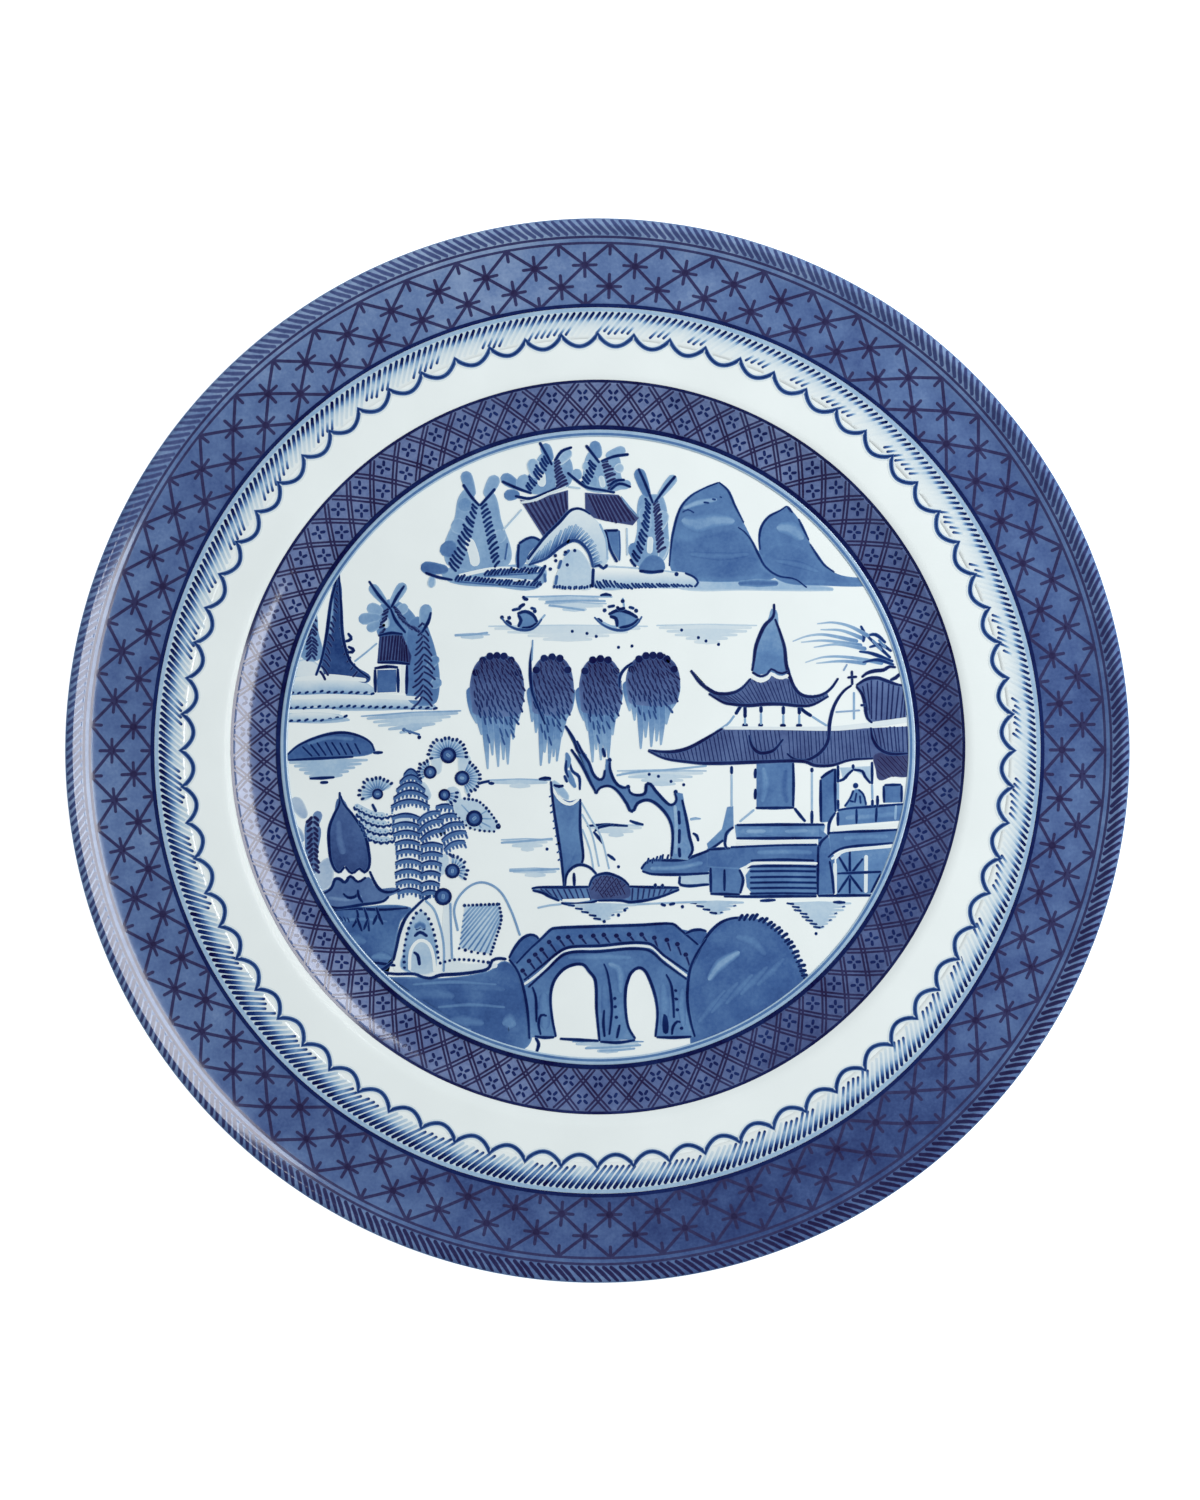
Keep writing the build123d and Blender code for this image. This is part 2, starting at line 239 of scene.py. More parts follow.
class Ink:
    """The brush marks and printed lines of one piece, each a thin closed solid."""

    def __init__(self, warm=0.0, layer=0, centre=(0.0, 0.0)):
        self.warm, self.layer, self.centre = warm, layer, np.array(centre)
        self.points, self.density, self.warmth, self.faces, self.smooth = [], [], [], [], []
        self.total, self.marks = 0, {}

    def add(self, points, density):
        self.points.append(points.reshape(-1, 3))
        self.density.append(np.asarray(density, float).ravel())
        self.warmth.append(np.full(len(self.points[-1]), self.warm))
        first, self.total = self.total, self.total + len(self.points[-1])
        return first

    def add_faces(self, faces, smooth):
        self.faces.append(np.asarray(faces, np.int64))
        self.smooth.append(np.full(len(faces), smooth))

    def height(self, filled=False):
        """Where the next mark lies. The fills of a layer are under its strokes."""
        laid = self.marks.get((self.layer, filled), 0)
        self.marks[self.layer, filled] = laid + 1
        return LIFT + LAYER * self.layer + STAGGER * (laid % SLOTS + (0 if filled else SLOTS))

    def sheet(self, grid, density, ring=False):
        """A thin solid over a grid of plan points: rows along the mark, columns to its left."""
        n, m = grid.shape[:2]
        density = np.broadcast_to(density, (n, m))
        grid = grid + self.centre
        low = self.add(on_face(grid, SUNK), density)
        top = self.add(on_face(grid, self.height()), density)
        index = np.arange(n * m).reshape(n, m)
        after = np.roll(index, -1, 0) if ring else index[1:]
        here = index if ring else index[:-1]
        quads = np.stack([here[:, :-1], after[:, :-1], after[:, 1:], here[:, 1:]], -1).reshape(-1, 4)
        right = np.stack([here[:, 0], after[:, 0]], -1)
        left = np.stack([after[:, -1], here[:, -1]], -1)
        rims = [right, left]
        if not ring:
            rims += [np.stack([index[0, 1:], index[0, :-1]], -1),
                     np.stack([index[-1, :-1], index[-1, 1:]], -1)]
        rim = np.vstack(rims)
        sides = np.stack([rim[:, 0] + low, rim[:, 1] + low, rim[:, 1] + top, rim[:, 0] + top], -1)
        self.add_faces(low + quads[:, ::-1], False)
        self.add_faces(sides, False)
        self.add_faces(top + quads, ring and m > 4)

    def line(self, points, width=0.7, density=0.9, straight=False, soft=0.0, under=0.3, step=0.8):
        """A stroke with rounded ends. Width and density may be several values along it."""
        path = polyline(points) if straight else curve(points, step=step)
        s = np.concatenate([[0], np.cumsum(np.hypot(*np.diff(path, axis=0).T))])
        total = s[-1]
        ends = [min(spread(width, t) / 2, total / 2.4) for t in (0, 1)]
        inner = s[(s > 1.25 * ends[0]) & (s < total - 1.25 * ends[1])]
        tip = np.array(TIP)
        at = np.concatenate([tip * ends[0], inner, (total - tip * ends[1])[::-1]])
        x, y = np.interp(at, s, path[:, 0]), np.interp(at, s, path[:, 1])
        path = np.stack([x, y], 1)
        reach = np.minimum(at / ends[0], (total - at) / ends[1]).clip(0, 1)
        half = spread(width, at / total) / 2 * np.maximum(BLUNT, np.sqrt(1 - (1 - reach) ** 2))
        shade = spread(density, at / total)[:, None]
        left = across(path)
        if soft:
            inset = np.maximum(half - soft, 0.3 * half)
            offsets = np.stack([-half, -inset, inset, half], 1)
            shade = np.concatenate([0 * shade + under, shade, shade, 0 * shade + under], 1)
        else:
            offsets = np.stack([-half, half], 1)
        self.sheet(path[:, None] + left[:, None] * offsets[..., None], shade)

    def lines(self, *strokes, **look):
        for points in strokes:
            self.line(points, **look)

    def dot(self, x, y, size=0.8, density=0.9):
        self.line([(x - 0.5 * size, y), (x + 0.5 * size, y)], size, density, straight=True)

    def dots(self, *places, size=0.8, density=0.9):
        for x, y in places:
            self.dot(x, y, size, density)

    def wash(self, outline, density, feather=0.35, edge=None, straight=False):
        """A filled area. Its density may depend on the place, and fades or darkens at the edge."""
        ring = polyline(outline, True, 2.5) if straight else curve(outline, True, 1.0)
        x, y = ring.T
        if np.sum(x * np.roll(y, -1) - np.roll(x, -1) * y) < 0:
            ring = ring[::-1]
        inward = across(ring, True)
        inset = ring + inward * np.minimum(feather, 0.7 * room(ring, inward))[:, None]
        shade = [np.full(len(ring), density(*p.T) if callable(density) else density)
                 for p in (ring, inset)]
        shade[0] = shade[0] * np.where(shade[0] > 0.4, 0.86, 0.6) if edge is None else np.full(len(ring),
            edge)
        n, height = len(ring), self.height(filled=True)
        low = self.add(on_face(ring, SUNK), shade[0])
        out = self.add(on_face(ring, height), shade[0])
        mid = self.add(on_face(inset, height), shade[1])
        here, after = np.arange(n), np.roll(np.arange(n), -1)
        self.add_faces([low + here[::-1]], False)
        self.add_faces(np.stack([low + here, low + after, out + after, out + here], 1), False)
        self.add_faces(np.stack([out + here, out + after, mid + after, mid + here], 1), False)
        self.add_faces([mid + here], False)

    def ring(self, r_in, r_out, density, columns=2):
        """A printed ring. Density may be several values outwards, or depend on radius and angle."""
        radii = np.linspace(r_in, r_out, columns)
        angle = np.arange(TURNS) * 360 / TURNS
        grid = polar(radii[None, ::-1], angle[:, None])
        if callable(density):
            shade = density(radii[None, ::-1], angle[:, None])
        else:
            shade = spread(density, np.linspace(1, 0, columns))[None]
        self.sheet(grid, shade, ring=True)

    def hatch(self, starts, ends, count, width=0.5, density=0.85, wobble=0.0, **look):
        """Strokes from one guide line to another."""
        a, b = (polyline(guide, step=0.2) for guide in (starts, ends))
        for i in range(count):
            t = (i + 0.5) / count
            pair = [line[round(t * (len(line) - 1))] + wobble * DRAW.normal(size=2)
                    for line in (a, b)]
            self.line(pair, width, density, straight=True, **look)

    def dabs(self, guide, count, length, angle, width=0.6, density=0.9, wobble=0.08):
        """Short strokes along a guide line. Each is drawn from the guide at that angle."""
        path = curve(guide, step=0.2)
        for i in range(count):
            t = i / max(1, count - 1)
            root = path[round(t * (len(path) - 1))] + wobble * DRAW.normal(size=2)
            reach = spread(length, t) * DRAW.uniform(0.88, 1.12)
            tip = root + polar(reach, spread(angle, t) + DRAW.normal() * 4)
            bow = (root + tip) / 2 + across(np.array([root, tip]))[0] * reach * 0.06
            self.line([root, bow, tip], width, density)

    def piece(self, name, node, slot, material):
        points, mesh = np.vstack(self.points), bpy.data.meshes.new(name)
        corners = np.concatenate([f.ravel() for f in self.faces])
        sizes = np.concatenate([np.full(len(f), f.shape[1]) for f in self.faces])
        mesh.vertices.add(len(points))
        mesh.loops.add(len(corners))
        mesh.polygons.add(len(sizes))
        mesh.vertices.foreach_set("co", points.ravel().astype(np.float32))
        mesh.loops.foreach_set("vertex_index", corners.astype(np.int32))
        mesh.polygons.foreach_set("loop_start", (np.cumsum(sizes) - sizes).astype(np.int32))
        mesh.polygons.foreach_set("use_smooth", np.concatenate(self.smooth))
        mesh.update(calc_edges=True)
        for label, values in (("tone", self.density), ("warm", self.warmth)):
            layer = mesh.attributes.new(label, "FLOAT", "POINT")
            layer.data.foreach_set("value", np.concatenate(values).astype(np.float32))
        plan = points[corners][:, :2]
        spans = np.maximum(np.ptp(plan, axis=0).max(), 1e-6)
        chart = (plan - plan.min(0)) / spans
        mesh.uv_layers.new(name="OFBake").data.foreach_set("uv", chart.ravel().astype(np.float32))
        settle(name, mesh, node, material)


def settle(name, mesh, node, material):
    """Puts a finished mesh in the scene, riding on the plate and standing for its CAD node."""
    mesh.materials.append(material)
    made = bpy.data.objects.new(name, mesh)
    bpy.context.scene.collection.objects.link(made)
    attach(made, "root")
    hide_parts(node)


# --- materials ----------------------------------------------------------------------------
LIGHT = 1.0             # how bright a white card lies on the flat of the plate
SHEEN = 0.012           # what the gloss adds over the flat of the plate
GLOSS_REACH = 0.1270    # inks further from the origin than this, in metres, show no highlight
INK_SPECULAR, GLAZE_SPECULAR, PAPER_SPECULAR = 0.5, 0.07, 0.1
GLOSS_IOR = 1.5
CLOUD, SPECK, GRIT = 170.0, 1400.0, 2600.0      # scales of the noise in ink and clay
TINT, RIPPLE = 60.0, 420.0                      # and of the noise in the glaze
MIX_FACTOR, MIX_A, MIX_B, MIX_RESULT = 0, 6, 7, 2   # a colour mix node's sockets
# display colours by tone, of the brushed cobalt and of the purpler printed one
GLAZE_TONE = (226, 234, 234)
BLUES = ((0.0, GLAZE_TONE), (0.12, (205, 219, 226)), (0.25, (180, 202, 218)),
         (0.40, (140, 172, 203)), (0.55, (98, 134, 178)), (0.70, (68, 98, 150)),
         (0.85, (38, 56, 108)), (1.0, (16, 24, 68)))
PLUMS = ((0.0, GLAZE_TONE), (0.25, (188, 196, 214)), (0.45, (140, 147, 182)),
         (0.60, (99, 108, 150)), (0.75, (72, 77, 115)), (0.88, (60, 58, 90)), (1.0, (45, 38, 62)))


def pigment(tone):
    """Albedo that looks like a display colour under this studio's light."""
    level = np.array(tone) / 255
    linear = np.where(level > 0.04045, ((level + 0.055) / 1.055) ** 2.4, level / 12.92)
    return (*np.maximum((linear - SHEEN) / LIGHT, 0.003), 1.0)


class Nodes:
    """Short-hand for a material's node tree."""

    def __init__(self, name, roughness):
        self.material = bpy.data.materials.new(name)
        self.material.use_nodes = True
        self.tree = self.material.node_tree
        self.shader = self.tree.nodes["Principled BSDF"]
        self.put("Roughness", roughness)
        self.put("IOR", GLOSS_IOR)

    def put(self, name, value):
        self.shader.inputs[name].default_value = value

    def feed(self, name, source):
        self.link(source, self.shader.inputs[name])

    def node(self, kind, **values):
        made = self.tree.nodes.new(kind)
        for key, value in values.items():
            setattr(made, key, value)
        return made

    def link(self, source, target):
        self.tree.links.new(source, target)

    def noise(self, scale, detail=3.0):
        where = self.node("ShaderNodeTexCoord")
        made = self.node("ShaderNodeTexNoise")
        made.inputs["Scale"].default_value = scale
        made.inputs["Detail"].default_value = detail
        self.link(where.outputs["Object"], made.inputs["Vector"])
        return made.outputs["Fac"]

    def math(self, operation, a, b):
        made = self.node("ShaderNodeMath", operation=operation)
        for socket, value in zip(made.inputs, (a, b)):
            if isinstance(value, (int, float)):
                socket.default_value = value
            else:
                self.link(value, socket)
        return made.outputs[0]

    def attribute(self, name):
        return self.node("ShaderNodeAttribute", attribute_name=name).outputs["Fac"]

    def ramp(self, stops, factor):
        made = self.node("ShaderNodeValToRGB")
        elements = made.color_ramp.elements
        elements[0].position, elements[1].position = stops[0][0], stops[-1][0]
        elements[0].color, elements[1].color = pigment(stops[0][1]), pigment(stops[-1][1])
        for place, tone in stops[1:-1]:
            elements.new(place).color = pigment(tone)
        self.link(factor, made.inputs["Fac"])
        return made.outputs["Color"]

    def mix(self, factor, a, b):
        made = self.node("ShaderNodeMix", data_type="RGBA")
        for socket, source in ((MIX_FACTOR, factor), (MIX_A, a), (MIX_B, b)):
            self.link(source, made.inputs[socket])
        return made.outputs[MIX_RESULT]

    def uneven(self, scale, amount, detail=3.0):
        """Noise between about minus and plus that amount."""
        return self.math("MULTIPLY", self.math("SUBTRACT", self.noise(scale, detail), 0.5), 2 * amount)

    def roughness(self, scale, least, swing):
        """Roughness that wanders upwards from its least."""
        self.feed("Roughness", self.math("ADD", self.math("MULTIPLY", self.noise(scale), swing), least))

    def bump(self, height, strength, distance):
        made = self.node("ShaderNodeBump")
        made.inputs["Strength"].default_value = strength
        made.inputs["Distance"].default_value = distance
        self.link(height, made.inputs["Height"])
        self.feed("Normal", made.outputs["Normal"])


def ink_material(name, mottle, grain):
    """Cobalt colour under the glaze. Its tone follows the density of the mark, a little uneven."""
    n = Nodes(name, 0.12)
    density = n.attribute("tone")
    mottling = n.math("ADD", n.uneven(CLOUD, mottle), n.uneven(SPECK, grain, 2.0))
    inked = n.math("MINIMUM", n.math("MULTIPLY", density, 4), 1)
    tone = n.math("ADD", density, n.math("MULTIPLY", mottling, inked))
    blue, plum = n.ramp(BLUES, tone), n.ramp(PLUMS, tone)
    n.feed("Base Color", n.mix(n.attribute("warm"), blue, plum))
    n.roughness(260.0, 0.08, 0.08)
    reach = n.node("ShaderNodeVectorMath", operation="LENGTH")
    n.link(n.node("ShaderNodeTexCoord").outputs["Object"], reach.inputs[0])
    within = n.math("LESS_THAN", reach.outputs["Value"], GLOSS_REACH)
    n.feed("Specular IOR Level", n.math("MULTIPLY", within, INK_SPECULAR))
    return n.material


def glaze_material():
    """Glossy cool white glaze, faintly uneven in tint, with the soft ripple of a fired coat."""
    n = Nodes("clear_glaze_on_white", 0.08)
    n.put("Specular IOR Level", GLAZE_SPECULAR)
    low, high = tuple(c - 2 for c in GLAZE_TONE), tuple(c + 2 for c in GLAZE_TONE)
    n.feed("Base Color", n.ramp(((0.3, low), (0.7, high)), n.noise(TINT)))
    n.bump(n.noise(RIPPLE, 2.0), 0.03, 0.0005)
    n.roughness(150.0, 0.05, 0.06)
    return n.material


def clay_material():
    """Bare fired clay, matt and slightly gritty."""
    n = Nodes("bare_fired_clay", 0.7)
    grit = n.noise(GRIT, 4.0)
    tones = ((0.25, (196, 190, 176)), (0.5, (226, 221, 208)), (0.8, (238, 235, 226)))
    n.feed("Base Color", n.ramp(tones, grit))
    n.bump(grit, 0.25, 0.0003)
    return n.material


# --- the plate itself ---------------------------------------------------------------------
GAP = 0.05              # between the clay and the back of its glaze
HIDDEN_STEP = 2.5       # steps of a section that the glaze hides


def lathe(name, section, segments, node, material):
    """Turns a section that starts and ends on the axis into a closed mesh."""
    section = np.array(section)
    angle = np.arange(segments) * 2 * math.pi / segments
    r, z = section[1:-1].T
    rings = np.stack([r[:, None] * np.cos(angle), r[:, None] * np.sin(angle),
                      np.repeat(z[:, None], segments, 1)], -1).reshape(-1, 3)
    points = np.vstack([[0, 0, section[0, 1]], rings, [0, 0, section[-1, 1]]]) * MM
    rows, after = len(r), np.roll(np.arange(segments), -1)
    here, last = np.arange(segments), len(points) - 1
    faces = [(0, 1 + i, 1 + j) for i, j in zip(here, after)]
    for row in range(rows - 1):
        a, b = 1 + row * segments, 1 + (row + 1) * segments
        faces += zip(a + here, b + here, b + after, a + after)
    end = 1 + (rows - 1) * segments
    faces += [(last, end + j, end + i) for i, j in zip(here, after)]
    mesh = bpy.data.meshes.new(name)
    mesh.from_pydata(points.tolist(), [], [tuple(map(int, f)) for f in faces])
    mesh.polygons.foreach_set("use_smooth", np.ones(len(mesh.polygons), bool))
    length = np.concatenate([[0], np.cumsum(np.hypot(*np.diff(section, axis=0).T))])
    level = length / length[-1]
    chart = []
    for i in here:
        chart += [((i + 0.5) / segments, level[0]), (i / segments, level[1]),
                  ((i + 1) / segments, level[1])]
    for row in range(1, rows):
        for i in here:
            left, right = i / segments, (i + 1) / segments
            chart += [(left, level[row]), (left, level[row + 1]), (right, level[row + 1]),
                      (right, level[row])]
    for i in here:
        chart += [((i + 0.5) / segments, level[-1]), ((i + 1) / segments, level[-2]),
                  (i / segments, level[-2])]
    mesh.uv_layers.new(name="OFBake").data.foreach_set("uv", np.array(chart, np.float32).ravel())
    mesh.update()
    settle(name, mesh, node, material)


def plate():
    glaze, clay = glaze_material(), clay_material()
    outside = to_foot(face_run()).points
    inside = to_foot(face_run(-GLAZE, HIDDEN_STEP)).points
    lathe("plate_glaze", outside + inside[::-1], 480, "outer_glaze", glaze)

    foot = Pen(FOOT_OUT_R, BARE_Z, 0, 0.3)
    foot.heading = -90.0
    foot = under_foot(foot).points
    body = to_foot(face_run(-GLAZE - GAP, HIDDEN_STEP)).points
    recess = Pen(FOOT_IN_R, BARE_Z, -GLAZE - GAP, 0.6)
    recess.heading = -270.0
    recess = recess_run(recess).points
    lathe("fired_body", body + foot + recess, 360, "porcelain_body", clay)

    coat = Pen(FOOT_IN_R, BARE_Z, 0, 0.3)
    coat.heading = -270.0
    back = Pen(FOOT_IN_R, BARE_Z, -GLAZE, 1.0)
    back.heading = -270.0
    section = recess_run(back).points[::-1] + recess_run(coat).points
    lathe("base_coat", section, 360, "base_glaze", glaze)


# --- borders ------------------------------------------------------------------------------
PRINT_OFFSET = (0.1, 0.8)   # the inner border was laid on slightly off the plate's axis


def rim_ground(material):
    """The ground under rope and lattice, in two rings that overlap where the lip turns up."""
    ink = Ink(warm=0.42)
    inner_r, lap_in_r, lap_out_r, outer_r = 106.1, 123.2, 124.2, 126.9
    lattice, gap, rope = 0.655, 0.60, 0.54
    radii = (106.2, 107.6, 120.6, 121.6, 122.4, 123.3, 125.9, 126.5)
    levels = (0.70, lattice, lattice - 0.03, gap, gap, rope, rope, 0.56)

    def tone(r, angle):
        # The quick ripples with angle are uneven printing. The slower swings, darkest round 303 and 132
        # degrees, are painted light and shade for how the light falls round the rim.
        return (np.interp(r, radii, levels)
                + 0.02 * np.sin(np.radians(5 * angle + 40)) + 0.02 * np.sin(np.radians(13 * angle))
                + 0.08 * np.cos(np.radians(angle - 303)) + 0.035 * np.cos(np.radians(3 * angle - 135))
                + 0.05 * np.exp(-((angle - 132) / 22) ** 2))

    ink.ring(inner_r, lap_out_r, tone, 25)
    ink.layer = 0.5
    ink.ring(lap_in_r, outer_r, tone, 21)
    ink.piece("rim_ground", "rim_wash", "rim_blue", material)


def rope_edge(material):
    """Slanted strokes round the turned edge, with a fine line over their outer ends."""
    ink = Ink(warm=0.75, layer=1)
    count, slant, painted_shade_at = 398, 1.75, 300
    outer_r, middle_r, inner_r, edge_r = 126.72, 124.8, 123.1, 126.96
    for i in range(count):
        outer = i * 360 / count + DRAW.normal() * 0.04
        path = [polar(outer_r + DRAW.normal() * 0.06, outer), polar(middle_r, outer - slant * 0.46),
                polar(inner_r, outer - slant)]
        # painted shade and painted sheen: strokes darkest round 300 degrees and lightest opposite, for how
        # the light falls round the edge
        dark = 0.83 + 0.11 * math.cos(math.radians(outer - painted_shade_at))
        ink.line(path, (0.7, 0.98, 0.86), dark, soft=0.33, under=dark - 0.06, step=0.28)
    ink.layer, ink.warm = 2, 0.1
    ink.ring(outer_r, edge_r, 0.50, 4)
    ink.piece("rope_edge_marks", "rope_edge_print", "navy_print", material)


def star_lattice(material):
    """Stars on crossing lines, between a double ring outside and a dark ring inside."""
    ink = Ink(warm=0.9, layer=1)
    ink.ring(122.3, 122.9, 0.84)
    ink.ring(120.9, 121.5, 0.84)
    ink.warm, ink.layer = 0.15, 3
    ink.ring(106.05, 106.95, 0.92)
    ink.warm, ink.layer = 0.9, 2
    repeats = 61
    pitch = 360 / repeats
    apex_r, outer_r, inner_r, foot_r = 121.1, 116.1, 111.1, 106.6
    tick, stub, shade = 3.1, 2.8, 0.86

    def radial(r_from, r_to, angle):
        ink.line([polar(r_from, angle), polar(r_to, angle)], 0.78, shade, straight=True)

    for i in range(repeats):
        here = i * pitch + DRAW.normal() * 0.06
        for side in (-0.5, 0.5):
            there = here + side * pitch
            for a, b in ((polar(apex_r, here), polar(outer_r, there)),
                         (polar(outer_r, there), polar(inner_r, here)),
                         (polar(inner_r, here + side * pitch * 2), polar(foot_r, there))):
                ink.line([a, b], 0.74, (0.84, 0.88, 0.84), straight=True)
        for r, angle in ((outer_r, here + pitch / 2), (inner_r, here)):
            radial(r - tick, r + tick, angle)
            turn = math.degrees(tick / r)
            ink.line([polar(r, angle - turn), polar(r, angle + turn)], 0.72, shade, straight=True)
            ink.dot(*polar(r, angle), 1.6, 0.92)
        radial(apex_r, apex_r - stub, here)
        radial(foot_r, foot_r + stub, here + pitch / 2)
    ink.piece("star_lattice", "lattice_rings", "navy_print", material)


def rain_cloud(material):
    """A fading ground and slanted strokes, some of them in a run that ends dark, some pale."""
    ink = Ink()
    ink.ring(98.6, 106.0, (0.0, 0.04, 0.12, 0.18, 0.22), 9)
    ink.layer = 1
    count, swing, heaviest_at = 430, 2.9, 222
    outer_r, usual_inner_r, full_length = 105.0, 99.5, 6.6
    run, dark_end = 0, False
    for i in range(count):
        if run == 0:
            run, dark_end = int(DRAW.integers(3, 8)), not dark_end
        run -= 1
        outer = i * 360 / count
        inner_r = usual_inner_r + DRAW.normal() * 0.25 + (0.3 if dark_end else -0.2)
        share = (outer_r - inner_r) / full_length
        path = [polar(outer_r, outer), polar((outer_r + inner_r) / 2, outer + swing * share * 0.48),
                polar(inner_r, outer + swing * share)]
        heavy = math.cos(math.radians(outer - heaviest_at))
        dark = DRAW.uniform(0.88, 1.0)
        middle = 0.38 + 0.26 * heavy + DRAW.uniform(-0.08, 0.08)
        end = (0.85 * middle, 0.60, 0.86) if dark_end else (0.6 * middle, 0.45 * middle, 0.30 * middle)
        size = 0.76 + 0.12 * heavy
        widths = (size, 1.1 * size, size, 0.75 * size, 0.70)
        ink.line(path, widths, (dark, dark - 0.06 + 0.04 * heavy, middle + 0.06, *end))
    ink.layer = 2
    ink.ring(105.1, 106.0, 0.36)
    ink.piece("rain_cloud_hatch", "rain_cloud_wash", "pale_wash", material)


def scallops(material):
    """A dark line on a pale wider one, in arcs that meet in cusps pointing outwards."""
    count, cusp_r, trough_r, samples = 72, 99.9, 96.9, 14
    angles, radii = [], []
    for i in range(count):
        for k in range(samples):
            t = k / samples
            angles.append((i + t) * 360 / count)
            radii.append(cusp_r - (cusp_r - trough_r) * math.sin(math.pi * t) ** 0.72)
    middle = polar(np.array(radii), np.array(angles))
    left = across(middle, True)
    ink = Ink()
    for half, shade, layer in ((0.95, (0.05, 0.16, 0.05), 1), (0.52, (0.62, 0.90, 0.62), 3)):
        ink.layer = layer
        offsets = np.array([-half, 0, half])
        grid = middle[:, None] + left[:, None] * offsets[None, :, None]
        ink.sheet(grid, np.array(shade)[None], ring=True)
    ink.piece("scalloped_line", "scallop_line", "navy_print", material)


def diaper(material):
    """A trellis of doubled lines with a cross in each eye, on a blue ground between two rings."""
    ground = Ink(warm=0.7, centre=PRINT_OFFSET)

    def tone(r, angle):
        # The quick ripples are uneven printing. The broad darkening round 338 degrees is painted shade, and
        # the lighter ground elsewhere is painted sheen.
        return (0.57 + 0.02 * np.sin(np.radians(11 * angle)) + 0.015 * np.sin(np.radians(4 * angle + 20))
                + 0.14 * np.cos(np.radians(angle + 22) / 2) ** 8 + 0 * r)

    ground.ring(77.1, 87.7, tone, 15)
    ground.piece("trellis_ground", "diaper_wash", "diaper_blue", material)

    ink = Ink(warm=0.85, layer=1, centre=PRINT_OFFSET)
    repeats, top_r, upper_r, lower_r, bottom_r = 72, 87.6, 84.6, 80.4, 77.3
    pitch, pair = 360 / repeats, 0.33
    for i in range(repeats):
        here = i * pitch + DRAW.normal() * 0.05
        for side in (-1, 1):
            legs = [polar(top_r, here - side * pitch * 0.37), polar(upper_r, here),
                    polar(lower_r, here + side * pitch / 2), polar(bottom_r, here + side * pitch * 0.87)]
            leaning = across(np.array(legs))
            for edge in (-pair, pair):
                ink.line(np.array(legs) + leaning * edge * 1.3, 0.5, (0.86, 0.92, 0.90), straight=True)
    ink.warm, ink.layer = 0.2, 2
    for i in range(repeats):
        for r, angle in ((upper_r, (i + 0.5) * pitch), (lower_r, i * pitch)):
            middle = polar(r, angle)
            for quarter in range(4):
                way = polar(1.0, angle + 45 + 90 * quarter + DRAW.normal() * 5)
                ink.line([middle + 0.35 * way, middle + 1.7 * way], 0.72, 0.90, straight=True)
    ink.layer, ink.warm = 3, 0.3
    ink.ring(87.5, 88.15, 0.93)
    ink.layer, ink.warm = 14, 0.1
    ink.ring(76.4, 77.45, 0.95)
    ink.piece("trellis_marks", "diaper_rings", "navy_print", material)


def well_lines(material):
    ink = Ink(layer=12, centre=PRINT_OFFSET)
    ink.ring(74.7, 76.5, (0.28, 0.34, 0.36, 0.34), 5)
    ink.layer = 13
    ink.ring(75.05, 75.65, 0.62)
    ink.piece("well_lines", "well_line", "light_line", material)


# --- the landscape ------------------------------------------------------------------------
FIELD_R = 75.3          # the landscape ends at the line round the well
WELL_SCALE = 1.0115     # the well is further from the camera than the rim
DRAWING_SHIFT = (0, 0.35)   # the whole drawing lies this far towards the top
STROKE_GAIN = 1.1       # strokes come out this much wider than the width they ask for
FILL, RESIST = 0.60, 0.02


